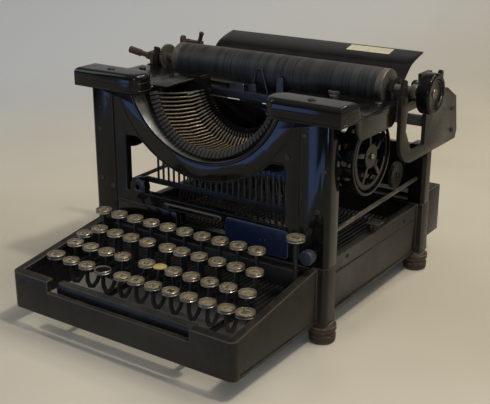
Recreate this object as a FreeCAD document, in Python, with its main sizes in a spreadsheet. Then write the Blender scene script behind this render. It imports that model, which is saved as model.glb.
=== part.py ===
# Front-strike typewriter with four rows of round keys, in millimetres.
# Sizes are first given from the machine's datum: x = 0 is its middle plane, y = 0 the front
# face of the front casting and z = 0 the table. datum_y then moves each piece so that
# the part's origin is below the middle of its bounding box.
import math
import os

import FreeCAD
import Part
from Sketcher import Constraint

doc = FreeCAD.newDocument("typewriter")

# Driving dimensions
SIZES = {
    # whole machine
    "datum_y": -70.5,
    "body_half": 130.0,
    "seam_height": 72.0,
    "running_gap": 0.05,
    "seat_gap": 0.3,
    # base casting and keyboard tray
    "base_inset": 9.0,
    "tray_front": -121.0,
    "base_rear": 215.0,
    "base_bottom": 19.0,
    "base_wall": 5.0,
    "rim_width": 8.0,
    "rim_thick": 3.5,
    "tray_lip": 53.0,
    "side_top": 70.5,
    "notch_half": 77.5,
    "notch_floor": 42.5,
    "tray_corner": 6.0,
    "web_bottom": 56.0,
    "web_thick": 5.0,
    # feet
    "foot_radius": 12.0,
    "foot_front_y": 12.0,
    "foot_rear_back": 8.0,
    "foot_rear_inset": 2.5,
    # front casting
    "front_thick": 8.0,
    "front_top": 197.0,
    "stub_width": 14.0,
    "flange_depth": 17.0,
    "flange_thick": 5.0,
    "column_round": 5.0,
    "arch_z": 229.0,
    "arch_radius": 85.0,
    "arch_band": 18.0,
    "collar_wall": 4.0,
    "collar_depth": 7.0,
    "window_half": 89.0,
    "window_floor": 102.0,
    "window_roof": 156.0,
    "window_round": 5.0,
    "gap_half": 25.0,
    "gap_floor": 81.0,
    "gap_roof": 93.0,
    "groove_x": 101.0,
    "groove_width": 2.0,
    "groove_depth": 1.2,
    "lug_x": -76.0,
    "lug_z": 106.0,
    "lug_radius": 9.0,
    "lug_bore": 2.5,
    # rear frame
    "rear_inset": 3.0,
    "rear_width": 17.0,
    "rear_front": 197.0,
    "rear_back": 213.0,
    "rear_top": 133.0,
    "rear_web_y": 201.0,
    "rear_web_thick": 6.0,
    "rear_web_floor": 84.0,
    "rear_web_top": 131.0,
    "rear_round": 4.0,
    "housing_inset": 3.0,
    "housing_rear": 262.0,
    "housing_floor": 25.0,
    "housing_top": 75.0,
    "housing_wall": 3.0,
    "housing_round": 4.0,
    # top covers
    "cover_overhang": 13.0,
    "cover_front": -7.0,
    "cover_back": 22.0,
    "cover_top": 214.0,
    "cover_round": 5.0,
    "cover_end": 66.5,
    "wing_inner": 84.5,
    "wing_rear": 91.0,
    "wing_top": 200.0,
    "wing_thick": 3.2,
    "skirt_floor": 180.0,
    "skirt_thick": 3.0,
    "skirt_round": 10.0,
    "lip_drop": 7.0,
    "valley_radius": 12.0,
    # key levers
    "fulcrum_y": 190.0,
    "fulcrum_z": 46.0,
    "fulcrum_radius": 3.0,
    "lever_thick": 1.6,
    "lever_deep": 6.0,
    "lever_eye": 6.5,
    "lever_margin": 6.9875,
    "stem_width": 4.0,
    "key_radius": 7.6,
    "key_thick": 3.2,
    "bare_key_radius": 6.0,
    "ring_wall": 1.6,
    "row_a_y": -82.0,
    "row_a_z": 59.0,
    "row_b_y": -66.0,
    "row_b_z": 69.0,
    "row_c_y": -48.5,
    "row_c_z": 80.0,
    "row_d_y": -31.5,
    "row_d_z": 91.0,
    "hook_drop": 8.0,
    "stuck_drop": 9.0,
    "shift_inset": 14.0,
    "shift_lean": 2.7,
    "shift_lever_thick": 2.0,
    "shift_key_radius": 8.2,
    "comb_margin": 4.0,
    "comb_floor": 30.0,
    "comb_top": 66.0,
    "comb_thick": 5.0,
    "comb_slot": 2.6,
    "comb_slot_top": 51.0,
    # space bar
    "bar_half": 76.0,
    "bar_front": -113.0,
    "bar_back": -102.0,
    "bar_floor": 40.0,
    "bar_top": 50.0,
    "bar_round": 4.0,
    "bar_arm_x": 60.0,
    "bar_arm_thick": 4.0,
    "bar_arm_floor": 22.0,
    "bar_arm_deep": 4.0,
    "bar_rod_y": -20.0,
    "bar_rod_radius": 2.5,
    "bar_eye": 4.6,
    # tall key and push knob at the right
    "tall_inset": 18.5,
    "tall_y": -20.0,
    "tall_top": 104.0,
    "tall_radius": 8.0,
    "tall_thick": 2.4,
    "tall_stem": 2.0,
    "tall_lever_z": 48.5,
    "tall_pivot_y": 60.0,
    "tall_pin_radius": 2.5,
    "tall_eye": 5.0,
    "push_inset": 12.5,
    "push_z": 84.5,
    "push_radius": 6.5,
    "push_length": 8.0,
    "push_stand": 6.0,
    "push_shaft": 3.0,
    "push_inside": 20.0,
    # type basket, in its own tilted axes
    "basket_z": 223.0,
    "basket_tilt": 12.0,
    "bar_count": 42,
    "bar_spread": 3.4,
    "pivot_s": 75.6,
    "pivot_r": 54.0,
    "pivot_wire": 1.0,
    "typebar_thick": 1.4,
    "typebar_half": 1.3,
    "typebar_hub": 3.2,
    "rod_rest_r": 69.0,
    "rod_middle_s": 50.0,
    "rod_knee_s": 68.0,
    "rod_knee_drop": 4.0,
    "tail_s": 87.5,
    "print_s": 95.3,
    "swing": 125.3,
    "slug_tall": 8.0,
    "slug_deep": 6.0,
    "slug_wide": 3.0,
    "slug_lean": 24.4,
    "segment_inner": 47.0,
    "segment_outer": 81.0,
    "segment_border": 9.0,
    "segment_front": 72.0,
    "segment_back": 81.0,
    "segment_slot": 1.9,
    "segment_slot_r": 76.0,
    "segment_roof": -6.0,
    "segment_lug": 84.0,
    "rest_inner": 71.7,
    "rest_outer": 75.0,
    "rest_s": 34.0,
    "rest_width": 6.0,
    "arm_thick": 4.0,
    "arm_floor": 176.0,
    "arm_top": 192.0,
    "gusset_front": 38.0,
    "gusset_knee": 143.0,
    "gusset_foot": 53.0,
    "gusset_floor": 121.0,
    "link_radius": 0.7,
    "link_y": 84.0,
    # type guide, card holder and link guide
    "card_half": 65.0,
    "card_front": 88.2,
    "card_thick": 2.6,
    "card_floor": 181.0,
    "card_top": 189.0,
    "finger_inner": 20.0,
    "finger_outer": 27.5,
    "finger_top": 207.0,
    "finger_round": 2.5,
    "block_left": -33.0,
    "block_right": -16.5,
    "block_top": 196.0,
    "finger_thick": 1.2,
    "vibrator_y": 91.2,
    "vibrator_thick": 1.2,
    "vibrator_left": -12.2,
    "vibrator_wide": 8.2,
    "vibrator_floor": 156.0,
    "vibrator_top": 195.0,
    "arch_wire": 0.6,
    "arch_wire_half": 8.6,
    "arch_wire_top": 212.0,
    "teeth_y": 30.0,
    "teeth_thick": 1.6,
    "teeth_half": 76.0,
    "teeth_floor": 106.0,
    "teeth_top": 134.0,
    "teeth_pitch": 6.3,
    # ribbon spools
    "cup_y": 57.5,
    "cup_z": 159.0,
    "cup_radius": 33.5,
    "cup_wall": 1.6,
    "cup_inset": 5.5,
    "cup_deep": 14.0,
    "cup_holes": 14,
    "cup_hole_wide": 5.0,
    "cup_hole_long": 8.0,
    "spool_radius": 29.5,
    "spool_hub": 9.0,
    "spool_flange": 1.0,
    "spool_pin": 2.4,
    "tie_inset": 12.0,
    "tie_radius": 2.0,
    "tie_front_z": 94.0,
    "tie_rear_z": 98.0,
    # carriage
    "left_stand": 32.0,
    "right_stand": 24.0,
    "end_thick": 4.0,
    "end_front": 93.0,
    "end_rear": 220.0,
    "end_floor": 140.0,
    "end_top": 195.0,
    "end_round": 26.0,
    "hole_front": 103.5,
    "hole_rear": 145.0,
    "hole_floor": 150.0,
    "hole_top": 189.0,
    "rod_front_y": 99.0,
    "rod_front_z": 184.0,
    "rod_front_radius": 3.0,
    "rod_rear_y": 165.0,
    "rod_rear_z": 165.0,
    "rod_rear_radius": 4.0,
    "bushing_wall": 2.0,
    "bridge_half": 28.0,
    "bridge_web": 20.0,
    "back_bar_y": 160.0,
    "back_bar_deep": 8.0,
    "back_bar_z": 182.0,
    "back_bar_tall": 8.0,
    "rack_y": 149.0,
    "rack_deep": 5.0,
    "rack_z": 167.0,
    "rack_tall": 8.0,
    "rack_pitch": 2.54,
    "rack_tooth": 1.4,
    "rack_reach": 105.0,
    "rack_offset": 5.0,
    # platen and its cradle
    "platen_y": 110.0,
    "platen_z": 207.0,
    "platen_radius": 17.0,
    "platen_left": -100.0,
    "platen_right": 119.0,
    "hub_ring": 7.0,
    "platen_shaft": 4.0,
    "shaft_left": -127.0,
    "collar_stand": 1.5,
    "collar_wide": 5.0,
    "collar_gap": 1.0,
    "knob_stand": 12.0,
    "knob_long": 12.0,
    "knob_radius": 18.0,
    "collar_radius": 6.3,
    "cradle_thick": 4.0,
    "cradle_left": -114.0,
    "cradle_right": 128.0,
    "guide_x": 60.0,
    "guide_radius": 1.5,
    "guide_long": 15.0,
    "cradle_bar_tall": 6.0,
    "roller_radius": 4.0,
    "roller_axle": 1.5,
    "roller_margin": 12.0,
    "roller_step": 54.0,
    "roller_long": 34.0,
    "roller_gap": 0.5,
    "roller_angle_front": -72.0,
    "roller_angle_rear": -38.0,
    "table_left": -98.0,
    "table_right": 122.0,
    "table_thick": 1.4,
    "table_start": 20.0,
    "table_drop": 7.5,
    "table_deep": 56.0,
    "table_rise": 27.0,
    "table_foot_wide": 6.0,
    "table_foot_deep": 5.0,
    "table_foot_tall": 21.0,
    "table_foot_inset": 20.0,
    "ratchet_radius": 13.0,
    "ratchet_teeth": 30,
    "ratchet_wide": 3.0,
    # levers on the carriage
    "handle_y": 110.0,
    "handle_x": -141.0,
    "handle_hub": 6.5,
    "handle_floor": 198.5,
    "handle_top": 210.0,
    "handle_radius": 2.8,
    "handle_tip_x": -171.0,
    "handle_tip_y": 104.0,
    "handle_tip_z": 211.0,
    "thumb_thick": 3.0,
    "thumb_wide": 7.0,
    "thumb_top": 228.0,
    "thumb_pin": 2.0,
    "release_arm": 15.0,
    "release_y": 150.0,
    "release_ring": 5.0,
    "release_rise": 20.0,
    "release_thick": 3.0,
    "stalk_radius": 2.2,
    "stalk_tip": 2.6,
    "stalk_rise": 10.0,
    # drums, wheels and bell
    "drum_x": -66.0,
    "drum_z": 108.0,
    "drum_radius": 24.0,
    "drum_front": 184.0,
    "drum_back": 199.0,
    "stud_radius": 3.0,
    "escape_x": 11.0,
    "pinion_radius": 6.0,
    "escape_radius": 13.0,
    "escape_stud": 2.0,
    "bell_x": 62.0,
    "bell_z": 104.0,
    "bell_radius": 21.0,
    "bell_front": 167.0,
    "bell_deep": 13.0,
    "bell_crown": 9.0,
    "bell_wall": 1.6,
    "bell_post": 2.5,
    "gear_y": 170.0,
    "gear_z": 107.0,
    "gear_radius": 13.0,
    "gear_teeth": 28,
    "gear_wide": 4.0,
}

# Sizes that follow from others
TIED = {
    "base_half": "=body_half - base_inset",
    "foot_front_x": "=base_half",
    "foot_rear_x": "=base_half - foot_rear_inset",
    "foot_rear_y": "=rear_back - foot_rear_back",
    "stub_inner": "=body_half - stub_width",
    "rear_outer": "=body_half - rear_inset",
    "rear_inner": "=rear_outer - rear_width",
    "housing_half": "=base_half - housing_inset",
    "cover_outer": "=body_half + cover_overhang",
    "shift_x": "=base_half - shift_inset",
    "shift_key_x": "=shift_x - shift_lean",
    "lever_pitch": "=(shift_x - lever_margin) * 2 / bar_count",
    "lever_first": "=0 - lever_pitch * bar_count / 2",
    "comb_half": "=shift_x - comb_margin",
    "tall_x": "=body_half - tall_inset",
    "push_x": "=body_half - push_inset",
    "cup_inner_x": "=body_half - cup_inset",
    "cup_outer_x": "=cup_inner_x + cup_deep",
    "tie_x": "=body_half - tie_inset",
    "carriage_left": "=platen_left - left_stand",
    "carriage_right": "=platen_right + right_stand",
    "knob_inner": "=carriage_right + end_thick + knob_stand",
    "knob_outer": "=knob_inner + knob_long",
    "gear_x": "=rear_inner - gear_wide",
}

sheet = doc.addObject("Spreadsheet::Sheet", "sizes")
for row, (alias, content) in enumerate([*SIZES.items(), *TIED.items()], start=1):
    sheet.set(f"A{row}", alias)
    sheet.set(f"B{row}", str(content))
    sheet.setAlias(f"B{row}", alias)
doc.recompute()


class Size:
    """A length of the sheet, or a sum of them, as a number and as an expression."""

    def __init__(self, text, value):
        self.text = text
        self.value = value

    def _join(self, sign, other, value):
        return Size(f"({self.text} {sign} {as_size(other).text})", value)

    def __add__(self, other):
        return self._join("+", other, self.value + as_size(other).value)

    def __sub__(self, other):
        return self._join("-", other, self.value - as_size(other).value)

    def __mul__(self, other):
        return self._join("*", other, self.value * as_size(other).value)

    def __truediv__(self, other):
        return self._join("/", other, self.value / as_size(other).value)

    def __radd__(self, other):
        return as_size(other) + self

    def __rsub__(self, other):
        return as_size(other) - self

    def __rmul__(self, other):
        return as_size(other) * self

    def __neg__(self):
        return Size(f"(0 - {self.text})", -self.value)


def as_size(thing):
    """Return a Size for a Size or a plain number."""
    if isinstance(thing, Size):
        return thing
    return Size(f"{float(thing):.6f}", float(thing))


class Sizes:
    """Reads the sheet's cells by name."""

    def __getattr__(self, alias):
        return Size(f"sizes.{alias}", float(sheet.get(alias)))


s = Sizes()
AXES = {
    "X": FreeCAD.Rotation(FreeCAD.Vector(0, 1, 0), 90),
    "Y": FreeCAD.Rotation(FreeCAD.Vector(1, 0, 0), -90),
    "Z": FreeCAD.Rotation(),
}


def bind(thing, **values):
    """Tie an object's properties to expressions of the sheet."""
    for name, value in values.items():
        thing.setExpression(name.replace("__", "."), as_size(value).text)


def locate(thing, x, y, z):
    """Tie an object's position to expressions of the sheet."""
    bind(thing, Placement__Base__x=x, Placement__Base__y=y, Placement__Base__z=z)


def box(name, x, y, z):
    """A box from three (low, high) pairs."""
    thing = doc.addObject("Part::Box", name)
    low_x, low_y, low_z = as_size(x[0]), as_size(y[0]), as_size(z[0])
    bind(thing, Length=x[1] - low_x, Width=y[1] - low_y, Height=z[1] - low_z)
    locate(thing, low_x, low_y, low_z)
    return thing


def rod(name, axis, centre, span, radius):
    """A round bar along an axis; centre holds the other two coordinates in X, Y, Z order."""
    thing = doc.addObject("Part::Cylinder", name)
    low = as_size(span[0])
    bind(thing, Radius=radius, Height=span[1] - low)
    thing.Placement.Rotation = AXES[axis]
    places = list(centre)
    places.insert("XYZ".index(axis), low)
    locate(thing, *places)
    return thing


def fuse(name, *things):
    """One solid from several overlapping ones."""
    thing = doc.addObject("Part::MultiFuse", name)
    thing.Shapes = list(things)
    thing.Refine = True
    return thing


def cut(name, base, *tools):
    """A solid less others."""
    thing = doc.addObject("Part::Cut", name)
    thing.Base = base
    thing.Tool = tools[0] if len(tools) == 1 else group(name + "_tools", *tools)
    thing.Refine = True
    return thing


def group(name, *things):
    """Separate solids in one object."""
    thing = doc.addObject("Part::Compound", name)
    thing.Links = list(things)
    return thing


def rounded(name, base, radius, wanted):
    """Round the edges of base for which wanted(edge) holds."""
    doc.recompute()
    thing = doc.addObject("Part::Fillet", name)
    thing.Base = base
    size = as_size(radius).value
    chosen = [i for i, edge in enumerate(base.Shape.Edges, start=1) if wanted(edge)]
    thing.Edges = [(i, size, size) for i in chosen]
    return thing


def runs_along(edge, axis, **at):
    """True for a straight edge along an axis, at the given coordinates."""
    ends = [vertex.Point for vertex in edge.Vertexes]
    if len(ends) != 2 or edge.Curve.TypeId != "Part::GeomLine":
        return False
    along = (ends[1] - ends[0]).normalize()
    if abs(abs(getattr(along, axis)) - 1) > 1e-4:
        return False
    middle = (ends[0] + ends[1]) * 0.5
    return all(abs(abs(getattr(middle, key)) - abs(as_size(place).value)) < 0.02
               for key, place in at.items())


def lies_at(edge, z):
    """True for an edge that lies wholly in the plane at height z."""
    bounds = edge.BoundBox
    return abs(bounds.ZMin - z.value) < 0.01 and abs(bounds.ZMax - z.value) < 0.01


PLANES = {"XY": "XY_Plane", "XZ": "XZ_Plane", "YZ": "YZ_Plane"}


def outline_sketch(body, name, plane, points):
    """A closed outline on one of the body's own planes, each corner tied to the sheet."""
    sketch = body.newObject("Sketcher::SketchObject", name)
    origin = next(f for f in body.Origin.OriginFeatures if f.Role == PLANES[plane])
    sketch.AttachmentSupport = [(origin, "")]
    sketch.MapMode = "FlatFace"
    corners = [FreeCAD.Vector(as_size(a).value, as_size(b).value, 0) for a, b in points]
    count = len(corners)
    for i in range(count):
        sketch.addGeometry(Part.LineSegment(corners[i], corners[(i + 1) % count]), False)
    for i in range(count):
        sketch.addConstraint(Constraint("Coincident", i, 2, (i + 1) % count, 1))
    for i, (a, b) in enumerate(points):
        for kind, place in (("DistanceX", as_size(a)), ("DistanceY", as_size(b))):
            index = sketch.addConstraint(Constraint(kind, -1, 1, i, 1, place.value))
            sketch.setExpression(f"Constraints[{index}]", place.text)
    return sketch


def prism(name, plane, points, span):
    """A body padded from an outline, between two places along the plane's normal."""
    body = doc.addObject("PartDesign::Body", name)
    sketch = outline_sketch(body, name + "_outline", plane, points)
    low, high = as_size(span[0]), as_size(span[1])
    start = -high if plane == "XZ" else low
    sketch.setExpression("AttachmentOffset.Base.z", start.text)
    pad = body.newObject("PartDesign::Pad", name + "_pad")
    pad.Profile = sketch
    pad.setExpression("Length", (high - low).text)
    sketch.Visibility = False
    return body


def shape_of(name, shape):
    """An object whose shape is made by Part's own functions."""
    thing = doc.addObject("Part::Feature", name)
    thing.Shape = shape
    return thing


def vec(x, y, z):
    """A vector from sizes or numbers."""
    return FreeCAD.Vector(as_size(x).value, as_size(y).value, as_size(z).value)


def bar_between(start, end, radius):
    """A round bar between two points."""
    return Part.makeCylinder(as_size(radius).value, (end - start).Length, start, end - start)


NODES = []


def node(label, *things):
    """Name a finished sub-part and set it in the part's own frame."""
    whole = group(label + "_set", *things)
    whole.Label = label
    shift = FreeCAD.Vector(0, s.datum_y.value, 0)
    whole.Placement = FreeCAD.Placement(shift, FreeCAD.Rotation())
    whole.setExpression("Placement.Base.y", s.datum_y.text)
    NODES.append(whole)
    return whole


def mirror_pair(side, low, high):
    """The (low, high) pair of x places on the right side, or mirrored on the left."""
    return (low, high) if side > 0 else (-as_size(high), -as_size(low))


# Base casting
def make_base():
    half, wall, rim = s.base_half, s.base_wall, s.rim_width
    front, rear, floor = s.tray_front, s.base_rear, s.base_bottom
    outer = prism("base_outer", "YZ", [
        (front, floor), (rear, floor), (rear, s.side_top), (0, s.side_top), (front, s.tray_lip),
    ], (-half, half))
    outer = rounded("base_corners", outer, s.tray_corner,
                    lambda edge: runs_along(edge, "z", x=half, y=front))
    low = floor - 1
    inner = prism("base_inner", "YZ", [
        (front + wall, low), (rear - wall, low), (rear - wall, s.side_top - s.rim_thick),
        (0, s.side_top - s.rim_thick), (front + wall, s.tray_lip - s.rim_thick),
    ], (-(half - wall), half - wall))
    mouth = box("base_mouth", (-(half - rim), half - rim), (front + rim, rear - rim),
                (low, s.side_top + 1))
    notch = box("base_notch", (-s.notch_half, s.notch_half), (front - 1, front + rim + 1),
                (s.notch_floor, s.side_top + 1))
    shell = cut("base_shell", outer, inner, mouth, notch)
    pieces = [shell]
    pieces.append(box("base_web", (-(half - wall), half - wall), (0, s.web_thick),
                      (s.web_bottom, s.side_top)))
    for side in (1, -1):
        pieces.append(box(f"front_stub_{side + 1}", mirror_pair(side, s.stub_inner, s.body_half),
                          (0, s.flange_depth), (floor, s.seam_height)))
        pieces.append(box(f"rear_stub_{side + 1}", mirror_pair(side, s.rear_inner, s.rear_outer),
                          (s.rear_front, s.rear_back), (floor, s.seam_height)))
    whole = fuse("base_whole", *pieces)
    whole = rounded("base_rounded", whole, s.column_round,
                    lambda edge: runs_along(edge, "z", x=s.body_half, y=0))
    node("base_frame", whole)


# Feet
def make_feet():
    radius, height = s.foot_radius, s.base_bottom
    body = doc.addObject("PartDesign::Body", "foot_pattern")
    sketch = outline_sketch(body, "foot_outline", "XZ", [
        (0, 0), (radius - 1.5, 0), (radius - 0.2, 1.5), (radius, 7.0), (radius - 1.4, 9.5),
        (radius - 1.4, 10.5), (radius + 0.4, 11.5), (radius + 0.4, 15.5),
        (radius - 1.6, height - 1), (radius - 2.6, height), (0, height),
    ])
    turn = body.newObject("PartDesign::Revolution", "foot_turn")
    turn.Profile = sketch
    turn.ReferenceAxis = (sketch, ["V_Axis"])
    turn.Angle = 360
    doc.recompute()
    feet = []
    for x, y in ((s.foot_front_x, s.foot_front_y), (s.foot_rear_x, s.foot_rear_y)):
        for side in (1, -1):
            foot = body.Shape.copy()
            foot.Placement = FreeCAD.Placement(vec(side * x, y, 0), FreeCAD.Rotation())
            feet.append(foot)
    node("feet", shape_of("feet_shape", Part.makeCompound(feet)))


# Front casting with the arch, the window and the two front columns
def make_front():
    half, deep = s.body_half, s.front_thick
    plate = box("front_plate", (-half, half), (0, deep), (s.seam_height, s.front_top))
    pieces = [plate]
    for side in (1, -1):
        pieces.append(box(f"front_flange_{side + 1}",
                          mirror_pair(side, half - s.flange_thick, half),
                          (0, s.flange_depth), (s.seam_height, s.front_top)))
    centre = (0, s.arch_z)
    collar_reach = (deep - 1, deep + s.collar_depth)
    collar = cut("arch_collar",
                 rod("collar_outer", "Y", centre, collar_reach, s.arch_radius + s.collar_wall),
                 box("collar_roof", (-half, half), (0, deep + s.collar_depth + 1),
                     (s.front_top, s.arch_z + s.arch_radius * 2)))
    pieces.append(collar)
    pieces.append(rod("lug_disc", "Y", (s.lug_x, s.lug_z), (0, deep), s.lug_radius))
    arch = rod("arch_opening", "Y", centre, (-1, deep + s.collar_depth + 1), s.arch_radius)
    band = rod("arch_band_disc", "Y", centre, (-2, deep + 2), s.arch_radius + s.arch_band)
    window = cut("window_opening",
                 box("window_box", (-s.window_half, s.window_half), (-1, deep + 0.5),
                     (s.window_floor, s.window_roof)), band)
    lug_keep = rod("lug_keep", "Y", (s.lug_x, s.lug_z), (-2, deep + 1), s.lug_radius)
    window = cut("window_around_lug", window, lug_keep)
    tools = [arch, window]
    tools.append(box("rail_gap", (-s.gap_half, s.gap_half), (-1, deep + 1),
                     (s.gap_floor, s.gap_roof)))
    tools.append(rod("lug_bore_hole", "Y", (s.lug_x, s.lug_z), (-1, deep + 1), s.lug_bore))
    tools.append(rod("push_bore", "Y", (s.push_x, s.push_z), (-1, deep + 1),
                     s.push_shaft + s.running_gap))
    for side in (1, -1):
        x = mirror_pair(side, s.groove_x, s.groove_x + s.groove_width)
        tools.append(box(f"groove_{side + 1}", x, (-1, s.groove_depth),
                         (s.seam_height + 4, s.front_top - 6)))
    whole = cut("front_whole", fuse("front_solid", *pieces), *tools)
    whole = rounded("front_columns", whole, s.column_round,
                    lambda edge: runs_along(edge, "z", x=half, y=0))
    whole = rounded("front_corners", whole, s.window_round,
                    lambda edge: runs_along(edge, "y", x=s.window_half, z=s.window_roof))
    node("front_frame", whole)


# Top covers over the ribbon spools
def make_covers():
    for side, label in ((-1, "top_cover_left"), (1, "top_cover_right")):
        depth = s.cover_back - s.cover_front
        nose = s.cover_end + depth / 2
        middle = s.cover_front + depth / 2
        cap = fuse(label + "_cap",
                   box(label + "_block", mirror_pair(side, nose, s.cover_outer),
                       (s.cover_front, s.cover_back), (s.front_top, s.cover_top)),
                   rod(label + "_nose", "Z", (side * nose, middle),
                       (s.front_top, s.cover_top), depth / 2))
        cap = rounded(label + "_cap_round", cap, s.cover_round,
                      lambda edge: lies_at(edge, s.cover_top) and edge.BoundBox.YMin
                      < s.cover_back.value - 0.5)
        wide = mirror_pair(side, s.wing_inner, s.cover_outer)
        valley = s.valley_radius
        wing = box(label + "_wing", wide, (s.cover_back - 1, s.wing_rear),
                   (s.wing_top - s.wing_thick, s.wing_top))
        slope = cut(label + "_slope",
                    box(label + "_slope_box", wide, (s.cover_back - 1, s.cover_back + valley),
                        (s.wing_top - 0.5, s.wing_top + valley)),
                    rod(label + "_slope_round", "X",
                        (s.cover_back + valley, s.wing_top + valley),
                        (wide[0] - 1, wide[1] + 1), valley))
        skirt = box(label + "_skirt",
                    mirror_pair(side, s.cover_outer - s.skirt_thick, s.cover_outer),
                    (s.cover_back - 1, s.wing_rear), (s.skirt_floor, s.wing_top - 0.5))
        skirt = rounded(label + "_skirt_round", skirt, s.skirt_round,
                        lambda edge: runs_along(edge, "x", z=s.skirt_floor))
        lip = box(label + "_lip", wide, (s.wing_rear - s.skirt_thick, s.wing_rear),
                  (s.wing_top - s.lip_drop, s.wing_top - 0.5))
        node(label, fuse(label + "_whole", cap, wing, slope, skirt, lip))


# Rear columns, their web and the housing behind them
def make_rear():
    pieces = [box("rear_web", (-(s.rear_inner + 1), s.rear_inner + 1),
                  (s.rear_web_y, s.rear_web_y + s.rear_web_thick),
                  (s.rear_web_floor, s.rear_web_top))]
    for side in (1, -1):
        pieces.append(box(f"rear_column_{side + 1}",
                          mirror_pair(side, s.rear_inner, s.rear_outer),
                          (s.rear_front, s.rear_back), (s.seam_height, s.rear_top)))
    pieces.append(rod("drum_stud", "Y", (s.drum_x, s.drum_z), (s.drum_front - 2, s.rear_web_y + 1),
                      s.stud_radius))
    bracket_low = s.gear_x - 4
    pieces.append(box("gear_bracket", (bracket_low, s.gear_x - 0.5), (s.gear_y - 4, s.rear_web_y + 1),
                      (s.gear_z - 4, s.gear_z + 4)))
    pieces.append(rod("gear_stud", "X", (s.gear_y, s.gear_z), (bracket_low + 1, s.gear_x + s.gear_wide + 1),
                      s.stud_radius))
    whole = fuse("rear_whole", *pieces)
    whole = rounded("rear_rounded", whole, s.rear_round,
                    lambda edge: runs_along(edge, "z", x=s.rear_outer))
    node("rear_frame", whole)

    half, wall = s.housing_half, s.housing_wall
    shell = box("housing_box", (-half, half), (s.base_rear, s.housing_rear),
                (s.housing_floor, s.housing_top))
    shell = rounded("housing_edges", shell, s.housing_round,
                    lambda edge: runs_along(edge, "x", y=s.housing_rear, z=s.housing_top)
                    or runs_along(edge, "z", y=s.housing_rear))
    hollow = box("housing_hollow", (-(half - wall), half - wall),
                 (s.base_rear + wall, s.housing_rear - wall),
                 (s.housing_floor - 1, s.housing_top - wall))
    node("rear_housing", cut("housing_whole", shell, hollow))


# Bridge that carries the carriage's two rods
def make_bridge():
    half = s.bridge_half
    front_wall = s.rod_front_radius + s.bushing_wall
    rear_wall = s.rod_rear_radius + s.bushing_wall * 2
    foot_y = s.rear_web_y
    web_top = s.rack_z - 4
    web = prism("bridge_web_plate", "YZ", [
        (s.rod_front_y - 3, s.rod_front_z), (s.rod_front_y + 13, web_top - 12),
        (s.rack_y + 5, web_top - 12), (foot_y - 14, web_top - 26), (foot_y - 6, s.rear_web_top),
        (foot_y - 6, s.rear_web_floor + 8), (foot_y, s.rear_web_floor + 8), (foot_y, web_top - 14),
        (s.rod_rear_y + 8, s.rod_rear_z + 2), (s.rod_rear_y - 6, web_top),
        (s.rod_front_y + 17, web_top), (s.rod_front_y + 4, s.rod_front_z + 1),
    ], (-half, -half + s.bridge_web))
    foot = box("bridge_foot", (-half, half), (foot_y - 6, foot_y),
               (s.rear_web_floor + 8, s.rear_web_top))
    front = rod("bridge_front_bushing", "X", (s.rod_front_y, s.rod_front_z), (-half, half),
                front_wall)
    rear = rod("bridge_rear_bushing", "X", (s.rod_rear_y, s.rod_rear_z), (-half, half), rear_wall)
    shelf_y = s.rack_y - 16
    shelf = box("bridge_shelf", (-half + 2, s.escape_x + 6), (shelf_y, shelf_y + 5),
                (web_top - 10, web_top - 1))
    stud = rod("escape_stud_bar", "Y", (s.escape_x, escape_z()), (shelf_y + 1, s.rack_y + s.rack_deep),
               s.escape_stud)
    whole = cut("bridge_whole", fuse("bridge_solid", web, foot, front, rear, shelf, stud),
                rod("bridge_front_bore", "X", (s.rod_front_y, s.rod_front_z), (-half - 1, half + 1),
                    s.rod_front_radius + s.running_gap),
                rod("bridge_rear_bore", "X", (s.rod_rear_y, s.rod_rear_z), (-half - 1, half + 1),
                    s.rod_rear_radius + s.running_gap))
    node("carriage_bridge", whole)


def escape_z():
    """Height of the escapement wheel's stud, under the rack."""
    return s.rack_z - s.pinion_radius - s.seat_gap


# Type basket
def basket_placement():
    """From the basket's own axes, with s along local Y, to the machine's."""
    tilt = FreeCAD.Rotation(FreeCAD.Vector(1, 0, 0), -s.basket_tilt.value)
    return FreeCAD.Placement(vec(0, 0, s.basket_z), tilt)


def bar_angle(index):
    """Angle of a typebar round the basket's axis, in degrees; 270 is the lowest place."""
    middle = (s.bar_count.value - 1) / 2
    return 270 + (index - middle) * s.bar_spread.value


def turned(shape, angle):
    """A shape that was drawn in the plane of a bar at angle 0, set at its own angle."""
    copy = shape.copy()
    turn = FreeCAD.Rotation(FreeCAD.Vector(0, 1, 0), -angle)
    copy.Placement = basket_placement() * FreeCAD.Placement(FreeCAD.Vector(), turn)
    return copy


def strip_face(points, half):
    """A flat strip of constant width along a line of (s, r) points."""
    left, right = [], []
    for i, point in enumerate(points):
        before = point - points[max(i - 1, 0)]
        after = points[min(i + 1, len(points) - 1)] - point
        along = (before + after).normalize()
        across = along.cross(FreeCAD.Vector(0, 0, 1))
        left.append(point + across * half)
        right.append(point - across * half)
    ring = left + right[::-1]
    return Part.Face(Part.makePolygon(ring + [ring[0]]))


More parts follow.
